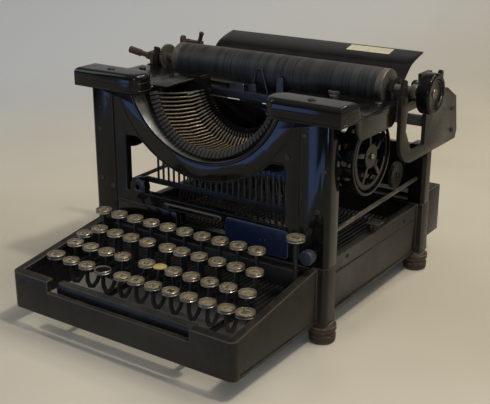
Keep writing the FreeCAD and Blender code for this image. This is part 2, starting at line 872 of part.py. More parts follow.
def typebar_shape():
    """One typebar in the plane of angle 0: s along Y, r along X."""
    def at(along, out):
        return FreeCAD.Vector(as_size(out).value, as_size(along).value, 0)

    pivot = at(s.pivot_s, s.pivot_r)
    half_thick = s.typebar_thick.value / 2
    centre = FreeCAD.Vector(0, 0, -half_thick)
    line = [at(rest_slug_centre()[0], rest_slug_centre()[1]), at(s.rod_middle_s, s.rod_rest_r + 0.6),
            at(s.rod_knee_s, s.rod_rest_r - s.rod_knee_drop), at(s.pivot_s - 4, s.pivot_r + 4), pivot,
            at(s.tail_s, s.pivot_r - 1)]
    bar = strip_face(line, s.typebar_half.value).extrude(FreeCAD.Vector(0, 0, 2 * half_thick))
    bar.translate(centre)
    hub = Part.makeCylinder(s.typebar_hub.value, 2 * half_thick, pivot + centre,
                            FreeCAD.Vector(0, 0, 1))
    hole = Part.makeCylinder(s.pivot_wire.value + s.running_gap.value, 4, pivot
                             - FreeCAD.Vector(0, 0, 2), FreeCAD.Vector(0, 0, 1))
    solid = bar.fuse([hub, slug_at_rest()]).cut(hole)
    return solid.removeSplitter()


def slug_at_rest():
    """The type slug, drawn where it prints and swung back to its place of rest."""
    tall, deep, wide = s.slug_tall.value, s.slug_deep.value, s.slug_wide.value
    slug = Part.makeBox(tall, deep, wide, FreeCAD.Vector(-tall / 2, -deep, -wide / 2))
    slug.rotate(FreeCAD.Vector(), FreeCAD.Vector(0, 0, 1), s.slug_lean.value)
    slug.translate(FreeCAD.Vector(0, s.print_s.value, 0))
    pivot = FreeCAD.Vector(s.pivot_r.value, s.pivot_s.value, 0)
    slug.rotate(pivot, FreeCAD.Vector(0, 0, 1), s.swing.value)
    return slug


def rest_slug_centre():
    """The slug's middle at rest, as (s, r)."""
    middle = slug_at_rest().CenterOfMass
    return middle.y, middle.x


def make_basket():
    span = (s.segment_front, s.segment_back)
    disc = cut("segment_ring", rod("segment_disc", "Y", (0, 0), span, s.segment_outer),
               rod("segment_eye", "Y", (0, 0), (s.segment_front - 1, s.segment_back + 1),
                   s.segment_inner))
    lugs = box("segment_lugs", (-s.segment_lug, s.segment_lug), span,
               (-(s.segment_outer + s.segment_border), s.segment_roof))
    lugs = cut("segment_lugs_open", lugs,
               rod("segment_lug_eye", "Y", (0, 0), (s.segment_front - 1, s.segment_back + 1),
                   s.segment_outer - 2))
    ring = cut("segment_low", fuse("segment_wide", disc, lugs),
               box("segment_above", (-s.segment_outer - 9, s.segment_outer + 9),
                   (s.segment_front - 1, s.segment_back + 1),
                   (s.segment_roof, s.segment_outer + 9)))
    slot_long = s.segment_slot_r.value - s.segment_inner.value + 3
    slot = Part.makeBox(slot_long, s.segment_back.value - s.segment_front.value + 4,
                        s.segment_slot.value,
                        vec(s.segment_inner - 3, s.segment_front - 2, -s.segment_slot / 2))
    slots = []
    for index in range(int(s.bar_count.value)):
        copy = slot.copy()
        copy.rotate(FreeCAD.Vector(), FreeCAD.Vector(0, 1, 0), -bar_angle(index))
        slots.append(copy)
    slotted = cut("segment_slotted", ring, shape_of("segment_slots", Part.makeCompound(slots)))
    reach = bar_angle(int(s.bar_count.value) - 1) - bar_angle(0) + 4
    wire = Part.makeTorus(s.pivot_r.value, s.pivot_wire.value, vec(0, s.pivot_s, 0),
                          FreeCAD.Vector(0, -1, 0), -180, 180, reach)
    wire.rotate(vec(0, s.pivot_s, 0), FreeCAD.Vector(0, 1, 0), reach / 2)
    segment = fuse("segment_whole", slotted, shape_of("pivot_wire_arc", wire))
    doc.recompute()
    placed = segment.Shape.copy()
    placed.Placement = basket_placement()
    node("type_segment", shape_of("segment_placed", placed))

    ring = Part.makeCylinder(s.rest_outer.value, s.rest_width.value, vec(0, s.rest_s, 0),
                             FreeCAD.Vector(0, 1, 0), 360)
    ring = ring.cut(Part.makeCylinder(s.rest_inner.value, s.rest_width.value + 2,
                                      vec(0, s.rest_s - 1, 0), FreeCAD.Vector(0, 1, 0), 360))
    half = s.rest_outer.value + 5
    roof = s.segment_roof.value - 14
    ring = ring.cut(Part.makeBox(2 * half, s.rest_width.value + 4, 2 * half,
                                 FreeCAD.Vector(-half, s.rest_s.value - 2, roof)))
    reach = s.segment_lug.value
    start = math.sqrt(s.rest_inner.value ** 2 - roof ** 2) + 2
    for low in (-reach, start):
        ring = ring.fuse(Part.makeBox(reach - start, s.rest_width.value, 8,
                                      FreeCAD.Vector(low, s.rest_s.value, roof - 8)))
    ring.Placement = basket_placement()
    node("type_rest", shape_of("rest_shape", ring))

    bar = typebar_shape()
    bars = [turned(bar, bar_angle(i)) for i in range(int(s.bar_count.value)) if i != PRINT_INDEX]
    node("typebars", shape_of("typebars_shape", Part.makeCompound(bars)))
    node("print_typebar", shape_of("print_typebar_shape", turned(bar, bar_angle(PRINT_INDEX))))

    arms = []
    for side in (1, -1):
        arms.append(prism(f"basket_arm_{side + 1}", "YZ", [
            (s.front_thick, s.arm_floor), (s.gusset_front, s.gusset_knee),
            (s.gusset_foot, s.gusset_floor), (s.gusset_foot + s.front_thick, s.gusset_floor),
            (s.pivot_s, s.arm_floor), (s.pivot_s, s.arm_top), (s.front_thick, s.arm_top),
        ], mirror_pair(side, s.segment_lug, s.segment_lug + s.arm_thick)))
    node("basket_arms", *arms)


PRINT_INDEX = 22
ROWS = "cbda"


def lever_x(index):
    """Place of a key lever across the machine."""
    return s.lever_first.value + index * s.lever_pitch.value


def tail_point(index):
    """Where the pull link meets a typebar's tail, in machine axes."""
    out = s.pivot_r + s.typebar_half + s.link_radius
    local = Part.Vertex(vec(out, s.tail_s - 1.5, 0))
    return turned(local, bar_angle(index)).Point


def make_links():
    links = []
    for index in range(int(s.bar_count.value)):
        top = tail_point(index)
        lever_top = s.fulcrum_z + s.lever_deep / 2 + s.seat_gap
        low = vec(lever_x(index), s.link_y, lever_top)
        links.append(bar_between(low, top, s.link_radius))
    printing = links.pop(PRINT_INDEX)
    node("pull_links", shape_of("links_shape", Part.makeCompound(links)))
    aside = (s.typebar_thick / 2 + s.link_radius + s.seat_gap).value
    printing.translate(FreeCAD.Vector(aside, 0, 0))
    node("print_link", shape_of("print_link_shape", printing))


# Keys and levers
BENT = {("b", 4): 8.6, ("b", 5): 4.4, ("a", 3): 3.4, ("c", 5): 3.4}
STUCK = ("c", 0)
EMPTY = ("a", 2)
BARE = ("b", 5)


def row_place(row):
    """Depth and height of a row's key tops."""
    return getattr(s, f"row_{row}_y"), getattr(s, f"row_{row}_z")


def plate_between(points, x, thick):
    """A flat plate from an outline of (y, z) points, centred on x."""
    ring = [FreeCAD.Vector(x - thick / 2, y, z) for y, z in points]
    return Part.Face(Part.makePolygon(ring + [ring[0]])).extrude(FreeCAD.Vector(thick, 0, 0))


def lever_shape(x, key_y, thick, front_y=None):
    """A key lever from its front end to its eye on the fulcrum rod."""
    low = s.fulcrum_z.value - s.lever_deep.value / 2
    high = s.fulcrum_z.value + s.lever_deep.value / 2
    rear = s.fulcrum_y.value
    start = key_y if front_y is None else front_y
    bar = plate_between([(start, low), (rear, low), (rear, high), (start, high)], x, thick)
    centre = FreeCAD.Vector(x - thick / 2, rear, s.fulcrum_z.value)
    eye = Part.makeCylinder(s.lever_eye.value, thick, centre, FreeCAD.Vector(1, 0, 0))
    hole = Part.makeCylinder(s.fulcrum_radius.value + s.running_gap.value, thick + 2,
                             centre - FreeCAD.Vector(1, 0, 0), FreeCAD.Vector(1, 0, 0))
    return bar.fuse(eye).cut(hole)


def stem_shape(x, key_y, top, lean, row):
    """The stem from a lever up to its key; row a's stems hook down and forward first."""
    thick, wide = s.lever_thick.value, s.stem_width.value
    low = s.fulcrum_z.value - s.lever_deep.value / 2
    pieces = []
    if row == "a":
        drop = s.hook_drop.value
        line = [(key_y, low + 7), (key_y, low), (key_y + 2.5, low - drop + 2),
                (key_y + 7, low - drop), (key_y + 12, low - drop + 3), (key_y + 17, low + 3)]
        points = [FreeCAD.Vector(y, z, 0) for y, z in line]
        face = strip_face(points, wide / 2)
        hook = face.extrude(FreeCAD.Vector(0, 0, thick))
        turn = FreeCAD.Placement(FreeCAD.Vector(x - thick / 2, 0, 0),
                                 FreeCAD.Rotation(FreeCAD.Vector(1, 1, 1), 120))
        hook.Placement = turn
        pieces.append(hook)
        foot_z = low + 6
    else:
        foot_z = low + 3
    foot = [FreeCAD.Vector(x - thick / 2, key_y - wide / 2, foot_z),
            FreeCAD.Vector(x + thick / 2, key_y - wide / 2, foot_z),
            FreeCAD.Vector(x + thick / 2, key_y + wide / 2, foot_z),
            FreeCAD.Vector(x - thick / 2, key_y + wide / 2, foot_z)]
    head = [point + FreeCAD.Vector(lean, 0, top - foot_z) for point in foot]
    wires = [Part.makePolygon(loop + [loop[0]]) for loop in (foot, head)]
    pieces.append(Part.makeLoft(wires, True, True))
    return pieces


def key_parts(index):
    """The lever, with its stem, and the key of one character key."""
    row = ROWS[index % 4]
    number = index // 4
    key_y, key_z = (value.value for value in row_place(row))
    x = lever_x(index)
    lean = BENT.get((row, number), 0)
    top = key_z - (s.stuck_drop.value if (row, number) == STUCK else 0)
    thick = s.key_thick.value
    front = key_y + 15 if row == "a" else key_y - s.stem_width.value / 2
    lever = lever_shape(x, key_y, s.lever_thick.value, front)
    stem_top = top - thick
    lever = lever.fuse(stem_shape(x, key_y, stem_top, lean, row)).removeSplitter()
    radius = s.bare_key_radius.value if (row, number) == BARE else s.key_radius.value
    centre = FreeCAD.Vector(x + lean, key_y, top - thick)
    key = Part.makeCylinder(radius, thick, centre)
    if (row, number) == EMPTY:
        floor = FreeCAD.Vector(0, 0, 1.0)
        key = key.cut(Part.makeCylinder(radius - s.ring_wall.value, thick, centre + floor))
    return row, lever, key


def make_keys():
    levers = {row: [] for row in ROWS}
    keys = {row: [] for row in ROWS}
    for index in range(int(s.bar_count.value)):
        row, lever, key = key_parts(index)
        if index == PRINT_INDEX:
            node("print_key_lever", shape_of("print_lever_shape", lever))
            node("print_key", shape_of("print_key_shape", key))
            continue
        levers[row].append(lever)
        keys[row].append(key)
    for row in "abcd":
        node(f"levers_row_{row}", shape_of(f"levers_{row}", Part.makeCompound(levers[row])))
        node(f"keys_row_{row}", shape_of(f"keys_{row}", Part.makeCompound(keys[row])))
    for side, label in ((-1, "shift_key_left"), (1, "shift_key_right")):
        key_y, key_z = (value.value for value in row_place("a"))
        thick = s.shift_lever_thick.value
        x = side * s.shift_x.value
        lever = lever_shape(x, key_y, thick, key_y - 2)
        low = s.fulcrum_z.value
        stem = Part.makeBox(thick, s.stem_width.value, key_z - s.key_thick.value - low,
                            FreeCAD.Vector(x - thick / 2, key_y - 2, low))
        key = Part.makeCylinder(s.shift_key_radius.value, s.key_thick.value,
                                FreeCAD.Vector(side * s.shift_key_x.value, key_y,
                                               key_z - s.key_thick.value))
        node(label, shape_of(label + "_shape", lever.fuse([stem, key]).removeSplitter()))
    inner = s.base_half - s.base_wall
    return rod("fulcrum_bar", "X", (s.fulcrum_y, s.fulcrum_z), (-inner, inner),
               s.fulcrum_radius)


def make_comb():
    plate = box("comb_plate", (-s.comb_half, s.comb_half), (-s.comb_thick, 0),
                (s.comb_floor, s.comb_top))
    slots = []
    for index in range(int(s.bar_count.value)):
        slots.append(Part.makeBox(s.comb_slot.value, s.comb_thick.value + 2,
                                  s.comb_slot_top.value - s.comb_floor.value + 1,
                                  FreeCAD.Vector(lever_x(index) - s.comb_slot.value / 2,
                                                 -s.comb_thick.value - 1,
                                                 s.comb_floor.value - 1)))
    node("lever_comb", cut("comb_whole", plate, shape_of("comb_slots", Part.makeCompound(slots))))


def make_space_bar():
    inner = s.base_half - s.base_wall
    pivot = (s.bar_rod_y, s.bar_arm_floor + s.bar_arm_deep / 2)
    bar = box("bar_block", (-s.bar_half, s.bar_half), (s.bar_front, s.bar_back),
              (s.bar_floor, s.bar_top))
    bar = rounded("bar_edges", bar, s.bar_round,
                  lambda edge: lies_at(edge, s.bar_top) or runs_along(edge, "z"))
    pieces = [bar]
    holes = []
    for side in (1, -1):
        x = mirror_pair(side, s.bar_arm_x - s.bar_arm_thick / 2, s.bar_arm_x + s.bar_arm_thick / 2)
        pieces.append(box(f"bar_post_{side + 1}", x, (s.bar_front + 3, s.bar_front + 8),
                          (s.bar_arm_floor, s.bar_floor + 1)))
        pieces.append(box(f"bar_arm_{side + 1}", x, (s.bar_front + 3, s.bar_rod_y),
                          (s.bar_arm_floor, s.bar_arm_floor + s.bar_arm_deep)))
        pieces.append(rod(f"bar_eye_{side + 1}", "X", pivot, x, s.bar_eye))
    holes.append(rod("bar_eye_bore", "X", pivot, (-inner, inner),
                     s.bar_rod_radius + s.running_gap))
    node("space_bar", cut("bar_whole", fuse("bar_solid", *pieces), *holes))
    return rod("bar_rod", "X", pivot, (-inner, inner), s.bar_rod_radius)


def make_tall_key():
    half = s.tall_stem / 2
    x = (s.tall_x - half, s.tall_x + half)
    pivot = (s.tall_pivot_y, s.tall_lever_z)
    inner = s.base_half - s.base_wall
    disc = rod("tall_disc", "Z", (s.tall_x, s.tall_y), (s.tall_top - s.tall_thick, s.tall_top),
               s.tall_radius)
    stem = box("tall_stem_bar", x, (s.tall_y - 2, s.tall_y + 2),
               (s.tall_lever_z, s.tall_top - s.tall_thick + 0.5))
    lever = box("tall_lever", x, (s.tall_y - 2, s.tall_pivot_y),
                (s.tall_lever_z - 2.5, s.tall_lever_z + 2.5))
    eye = rod("tall_eye_disc", "X", pivot, x, s.tall_eye)
    bore = rod("tall_bore", "X", pivot, (s.tall_x - 5, s.tall_x + 5),
               s.tall_pin_radius + s.running_gap)
    node("tall_key", cut("tall_whole", fuse("tall_solid", disc, stem, lever, eye), bore))
    pin = rod("tall_pin", "X", pivot, (s.tall_x - half - 1, inner), s.tall_pin_radius)
    knob = rod("push_head", "Y", (s.push_x, s.push_z),
               (-s.push_stand - s.push_length, -s.push_stand), s.push_radius)
    knob = rounded("push_head_round", knob, 1.5, lambda edge: edge.BoundBox.YMax
                   < -s.push_stand.value - s.push_length.value + 0.1)
    shaft = rod("push_shaft_bar", "Y", (s.push_x, s.push_z), (-s.push_stand - 1, s.push_inside),
                s.push_shaft)
    node("push_knob", fuse("push_whole", knob, shaft))
    return pin


# Parts in front of the platen
def make_print_point():
    deep = (s.card_front, s.card_front + s.card_thick)
    tilt = math.radians(s.basket_tilt.value)
    rise = (s.card_top - s.basket_z) * math.sin(tilt)
    lug_back = (s.segment_back + rise) / math.cos(tilt) + s.running_gap
    pieces = [box("card_bar", (-s.card_half, s.card_half), deep, (s.card_floor, s.card_top))]
    for side, x, top in ((1, (s.finger_inner, s.finger_outer), s.finger_top),
                         (-1, (s.block_left, s.block_right), s.block_top)):
        finger = box(f"finger_{side + 1}", x, (deep[1] - s.finger_thick, deep[1]),
                     (s.card_top - 1, top))
        finger = rounded(f"finger_round_{side + 1}", finger, s.finger_round,
                         lambda edge: runs_along(edge, "y", z=top))
        pieces.append(finger)
        pieces.append(box(f"card_arm_{side + 1}",
                          mirror_pair(side, s.card_half - 1, s.segment_lug),
                          deep, (s.card_floor + 2, s.card_top)))
        pieces.append(box(f"card_post_{side + 1}",
                          mirror_pair(side, s.segment_outer - 4, s.segment_lug),
                          (lug_back, deep[1]), (s.card_floor + 2, s.card_top)))
    node("card_holder", fuse("card_whole", *pieces))

    deep = (s.vibrator_y, s.vibrator_y + s.vibrator_thick)
    strip = box("vibrator_strip", (s.vibrator_left, s.vibrator_left + s.vibrator_wide), deep,
                (s.vibrator_floor, s.vibrator_top))
    foot = box("vibrator_foot", (s.vibrator_left, s.arch_wire_half + 1), deep,
               (s.vibrator_floor, s.vibrator_floor + 5))
    middle = s.vibrator_y + s.vibrator_thick / 2
    legs = [vec(-s.arch_wire_half, middle, s.vibrator_top - 1), vec(-2.5, middle, s.arch_wire_top),
            vec(2.5, middle, s.arch_wire_top),
            vec(s.arch_wire_half, middle, s.vibrator_top - 4),
            vec(s.arch_wire_half, middle, s.vibrator_floor + 2)]
    wire = [bar_between(a, b, s.arch_wire) for a, b in zip(legs, legs[1:])]
    joints = [Part.makeSphere(s.arch_wire.value, point) for point in legs[1:-1]]
    arch = wire[0].fuse(wire[1:] + joints)
    node("ribbon_vibrator", fuse("vibrator_whole", strip, foot, shape_of("vibrator_arch", arch)))

    count = int(2 * s.teeth_half.value // s.teeth_pitch.value) + 1
    teeth = []
    for i in range(count):
        x = (i - (count - 1) / 2) * s.teeth_pitch.value
        teeth.append(Part.makeBox(s.teeth_thick.value, s.teeth_thick.value,
                                  s.teeth_top.value - s.teeth_floor.value,
                                  FreeCAD.Vector(x - s.teeth_thick.value / 2, s.teeth_y.value,
                                                 s.teeth_floor.value)))
    rail = Part.makeBox(2 * s.window_half.value, 3, 5,
                        FreeCAD.Vector(-s.window_half.value, s.teeth_y.value,
                                       s.teeth_floor.value - 5))
    posts = [Part.makeBox(4, s.teeth_y.value + 3 - s.front_thick.value, 5,
                          FreeCAD.Vector(x, s.front_thick.value, s.teeth_floor.value - 5))
             for x in (-s.window_half.value - 4, s.window_half.value)]
    node("link_guide", shape_of("teeth_shape", rail.fuse(teeth + posts)))


# Ribbon spools and their cups
def make_spools():
    for side, name in ((-1, "left"), (1, "right")):
        centre = (s.cup_y, s.cup_z)
        inner, outer = s.cup_inner_x, s.cup_outer_x
        drum = rod(f"cup_drum_{name}", "X", centre, mirror_pair(side, inner, outer), s.cup_radius)
        hollow = rod(f"cup_hollow_{name}", "X", centre,
                     mirror_pair(side, inner + s.cup_wall, outer + 1), s.cup_radius - s.cup_wall)
        holes = []
        long, wide = s.cup_hole_long.value, s.cup_hole_wide.value
        for i in range(int(s.cup_holes.value)):
            hole = Part.makeBox(long, wide, 12, FreeCAD.Vector(-long / 2, -wide / 2,
                                                               s.cup_radius.value - 6))
            hole.rotate(FreeCAD.Vector(), FreeCAD.Vector(1, 0, 0),
                        360.0 * (i + 0.5) / s.cup_holes.value)
            middle = (inner.value + s.cup_wall.value + outer.value) / 2
            hole.translate(vec(side * middle, s.cup_y, s.cup_z))
            holes.append(hole)
        cup = cut(f"cup_shell_{name}", drum, hollow,
                  shape_of(f"cup_slots_{name}", Part.makeCompound(holes)))
        arm = box(f"cup_arm_{name}", mirror_pair(side, inner, inner + 4),
                  (s.flange_depth, s.cup_y - s.cup_radius + 3), (s.cup_z - 8, s.cup_z + 8))
        pin = rod(f"cup_pin_{name}", "X", centre, mirror_pair(side, inner + 0.5, outer),
                  s.spool_pin)
        node(f"spool_cup_{name}", fuse(f"cup_whole_{name}", cup, arm, pin))

        low = inner + s.cup_wall + s.seat_gap
        high = outer - 1
        hub = rod(f"spool_hub_{name}", "X", centre, mirror_pair(side, low, high), s.spool_hub)
        near = rod(f"spool_near_{name}", "X", centre,
                   mirror_pair(side, high - s.spool_flange, high), s.spool_radius)
        far = rod(f"spool_far_{name}", "X", centre,
                  mirror_pair(side, low, low + s.spool_flange), s.spool_radius)
        bore = rod(f"spool_bore_{name}", "X", centre, mirror_pair(side, low - 1, high + 1),
                   s.spool_pin + s.running_gap)
        node(f"ribbon_spool_{name}",
             cut(f"spool_whole_{name}", fuse(f"spool_solid_{name}", hub, near, far), bore))

    rods = []
    for side in (1, -1):
        start = vec(side * s.tie_x, s.front_thick, s.tie_front_z)
        end = vec(side * s.tie_x, s.rear_front, s.tie_rear_z)
        long = bar_between(start - (end - start) * 0.02, end + (end - start) * 0.02, s.tie_radius)
        slab = Part.makeBox(20, s.rear_front.value - s.front_thick.value, 60,
                            vec(side * s.tie_x - 10, s.front_thick, s.tie_front_z - 20))
        rods.append(long.common(slab))
    node("tie_rods", shape_of("tie_shape", Part.makeCompound(rods)))


# Carriage
def end_outline(notch):
    """Outline of a carriage end plate, as (y, z) points."""
    front, rear = s.end_front, s.end_rear
    points = [(front, s.end_floor), (rear - 3, s.end_floor), (rear, s.end_floor + 8),
              (rear - 7, s.end_top - 12), (rear - 29, s.end_top)]
    if notch:
        points += [(front + 60, s.end_top), (front + 59, s.end_top + 23),
                   (front + 38, s.end_top + 23), (front + 38, s.end_top + 11),
                   (front + 42, s.end_top + 9), (front + 42, s.end_top)]
    points += [(front + 11, s.end_top), (front + 9, s.end_top + 22), (front + 4, s.end_top + 24),
               (front, s.end_top + 5)]
    return points


def make_ends():
    for label, low, notch in (("carriage_end_left", s.carriage_left, False),
                              ("carriage_end_right", s.carriage_right, True)):
        high = low + s.end_thick
        plate = prism(label + "_plate", "YZ", end_outline(notch), (low, high))
        plate = rounded(label + "_corner", plate, s.end_round,
                        lambda edge: runs_along(edge, "x", y=s.end_front, z=s.end_floor))
        hole = prism(label + "_hole", "YZ", [
            (s.hole_front, s.hole_floor + 22), (s.hole_front + 14, s.hole_floor),
            (s.hole_rear, s.hole_floor), (s.hole_rear, s.hole_top), (s.hole_front + 2, s.hole_top),
        ], (low - 1, high + 1))
        solid = cut(label + "_open", plate, hole)
        pieces = [solid]
        if notch:
            ball = doc.addObject("Part::Sphere", label + "_ball")
            bind(ball, Radius=4.2)
            locate(ball, low + s.end_thick / 2, s.platen_y + 13, s.end_top + 15)
            pieces.append(ball)
            pieces.append(rod(label + "_ball_stem", "Z", (low + s.end_thick / 2, s.platen_y + 13),
                              (s.end_top - 1, s.end_top + 13), 1.6))
            pieces.append(rod(label + "_release_pin", "X", (s.rod_rear_y + 2, s.end_top - 7),
                              (high - 1, high + s.thumb_thick + 1), s.thumb_pin))
        else:
            pieces.append(box(label + "_tongue", (s.handle_x - 7, low + 1),
                              (s.handle_y - 6, s.handle_y + 6),
                              (s.end_top - 1, s.handle_floor - s.seat_gap)))
            pieces.append(box(label + "_tongue_root", (low, high), (s.handle_y - 6, s.handle_y + 6),
                              (s.end_top - 1, s.handle_floor - s.seat_gap)))
            pieces.append(rod(label + "_handle_pin", "Z", (s.handle_x, s.handle_y),
                              (s.end_top, s.handle_top + 1), s.thumb_pin))
            pieces.append(rod(label + "_release_post", "Z", (low + s.end_thick / 2, s.release_y),
                              (s.end_top - 1, s.end_top + s.release_rise + s.release_thick + 1),
                              s.thumb_pin))
        node(label, fuse(label + "_whole", *pieces))


def make_carriage_bars():
    span = (s.carriage_left + s.end_thick, s.carriage_right)
    node("carriage_rods",
         rod("rod_front", "X", (s.rod_front_y, s.rod_front_z), span, s.rod_front_radius),
         rod("rod_rear", "X", (s.rod_rear_y, s.rod_rear_z), span, s.rod_rear_radius))
    top = s.back_bar_z + s.back_bar_tall
    bar = box("back_bar", span, (s.back_bar_y, s.back_bar_y + s.back_bar_deep),
              (s.back_bar_z, top))
    guides = [rod(f"guide_pin_{i}", "Z", (x, s.back_bar_y + 2), (top - 1, top + s.guide_long),
                  s.guide_radius)
              for i, x in enumerate((-s.guide_x, s.guide_x))]
    node("carriage_bar", fuse("back_bar_whole", bar, *guides))
    bar = box("rack_bar", span, (s.rack_y, s.rack_y + s.rack_deep),
              (s.rack_z, s.rack_z + s.rack_tall))
    gaps = []
    count = int(s.rack_reach.value * 2 // s.rack_pitch.value)
    for i in range(count):
        x = (i - count / 2) * s.rack_pitch.value + s.rack_offset.value
        gaps.append(Part.makeBox(s.rack_pitch.value / 2, s.rack_deep.value + 2, s.rack_tooth.value,
                                 FreeCAD.Vector(x, s.rack_y.value - 1, s.rack_z.value)))
    node("escapement_rack", cut("rack_whole", bar, shape_of("rack_gaps", Part.makeCompound(gaps))))


def make_cradle():
    y, z = s.platen_y, s.platen_z
    bar_z = s.back_bar_z + s.back_bar_tall + s.seat_gap
    pieces = []
    bores = []
    for low in (s.cradle_left, s.cradle_right):
        high = low + s.cradle_thick
        name = "cradle_left" if low.value < 0 else "cradle_right"
        pieces.append(prism(name, "YZ", [
            (y - 10, z), (y - 7, z - 10), (y - 4, z - 24), (y + 22, z - 24), (y + 27, bar_z),
            (s.back_bar_y + 6, bar_z), (s.back_bar_y + 6, bar_z + s.cradle_bar_tall),
            (y + 28, bar_z + 8),
            (y + 10, z + 6), (y + 4, z + 10), (y - 5, z + 9),
        ], (low, high)))
        for angle in (s.roller_angle_front, s.roller_angle_rear):
            bores.append(rod(f"{name}_bore_{int(-angle.value)}", "X", roller_centre(angle),
                             (low - 1, high + 1), s.roller_axle + s.running_gap))
    span = (s.cradle_left + s.cradle_thick, s.cradle_right)
    pieces.append(box("cradle_bar", span, (s.back_bar_y - 2, s.back_bar_y + 6),
                      (bar_z, bar_z + s.cradle_bar_tall)))
    pin_y, pin_z = thumb_pivot()
    pieces.append(rod("thumb_pin_bar", "X", (pin_y, pin_z),
                      (s.cradle_left - s.thumb_thick - 1, s.cradle_left + 1), s.thumb_pin))
    for x in (-s.guide_x, s.guide_x):
        bores.append(rod(f"cradle_guide_bore_{len(bores)}", "Z", (x, s.back_bar_y + 2),
                         (bar_z - 1, bar_z + s.cradle_bar_tall + 1),
                         s.guide_radius + s.running_gap))
    bores.append(rod("cradle_shaft_bore", "X", (y, z), (s.cradle_left - 1,
                                                        s.cradle_right + s.cradle_thick + 1),
                     s.platen_shaft + s.running_gap))
    node("platen_cradle", cut("cradle_whole", fuse("cradle_solid", *pieces), *bores))


def thumb_pivot():
    """Centre of the paper release lever's pin, as (y, z)."""
    return s.platen_y + 14, s.platen_z - 3


def roller_centre(angle):
    """Centre of a feed roller under the platen, as (y, z)."""
    reach = s.platen_radius.value + s.roller_radius.value + s.roller_gap.value
    turn = math.radians(angle.value)
    return s.platen_y + reach * math.cos(turn), s.platen_z + reach * math.sin(turn)


def make_rollers():
    inner = (s.cradle_left, s.cradle_right + s.cradle_thick)
    rollers = []
    for angle in (s.roller_angle_front, s.roller_angle_rear):
        centre = roller_centre(angle)
        name = f"roller_{int(-angle.value)}"
        pieces = [rod(name + "_axle", "X", centre, inner, s.roller_axle)]
        for i in range(4):
            start = s.platen_left + s.roller_margin + i * s.roller_step
            pieces.append(rod(f"{name}_{i}", "X", centre, (start, start + s.roller_long),
                              s.roller_radius))
        rollers.append(fuse(name + "_whole", *pieces))
    node("feed_rollers", *rollers)


def make_platen():
    centre = (s.platen_y, s.platen_z)
    node("platen_roller",
         cut("platen_tube", rod("platen_rubber", "X", centre, (s.platen_left, s.platen_right),
                                s.platen_radius),
             rod("platen_bore", "X", centre, (s.platen_left - 1, s.platen_right + 1),
                 s.platen_shaft)))
    shaft = rod("shaft_bar", "X", centre, (s.shaft_left, s.knob_inner), s.platen_shaft)
    left = rod("shaft_ring_left", "X", centre, (s.platen_left - s.hub_ring, s.platen_left),
               s.platen_radius - 0.4)
    right = rod("shaft_ring_right", "X", centre, (s.platen_right, s.platen_right + s.hub_ring),
                s.platen_radius - 0.4)
    near = s.carriage_right + s.end_thick + s.collar_stand
    far = near + s.collar_wide
    first = rod("shaft_collar_1", "X", centre, (near, far), s.collar_radius)
    second = rod("shaft_collar_2", "X", centre, (far + s.collar_gap, s.knob_inner),
                 s.collar_radius)
    node("platen_shaft", fuse("shaft_whole", shaft, left, right, first, second))
    knob = rod("knob_disc", "X", centre, (s.knob_inner, s.knob_outer), s.knob_radius)
    knob = rounded("knob_round", knob, 2.0, lambda edge: edge.BoundBox.XMin
                   > s.knob_outer.value - 0.1)
    dish = rod("knob_dish", "X", centre, (s.knob_outer - 2, s.knob_outer + 1), s.knob_radius - 5)
    node("platen_knob", cut("knob_whole", knob, dish))
    low = s.shaft_left + 0.5
    node("ratchet_wheel", toothed_disc("ratchet", low, low + s.ratchet_wide, s.ratchet_radius,
                                       s.ratchet_teeth, centre, s.platen_shaft))


def toothed_disc(name, low, high, radius, teeth, centre, bore):
    """A disc on an X axis with V-shaped gaps round its rim."""
    disc = Part.makeCylinder(radius.value, high.value - low.value, vec(low, centre[0], centre[1]),
                             FreeCAD.Vector(1, 0, 0))
    step = 360.0 / teeth.value
    gap = radius.value * math.radians(step) * 0.3
    tools = []
    for i in range(int(teeth.value)):
        corners = [FreeCAD.Vector(-1, -gap, radius.value + 0.5),
                   FreeCAD.Vector(-1, gap, radius.value + 0.5),
                   FreeCAD.Vector(-1, 0, radius.value - 1.6)]
        tool = Part.Face(Part.makePolygon(corners + [corners[0]])).extrude(
            FreeCAD.Vector(high.value - low.value + 2, 0, 0))
        tool.rotate(FreeCAD.Vector(), FreeCAD.Vector(1, 0, 0), i * step)
        tool.translate(vec(low, centre[0], centre[1]))
        tools.append(tool)
    hole = Part.makeCylinder(as_size(bore).value, high.value - low.value + 2,
                             vec(low - 1, centre[0], centre[1]), FreeCAD.Vector(1, 0, 0))
    return shape_of(name + "_shape", disc.cut(tools + [hole]))


TABLE_CURVE = [(0, 0), (0.232, 0.167), (0.393, 0.426), (0.536, 0.685), (0.714, 0.852), (1, 1)]


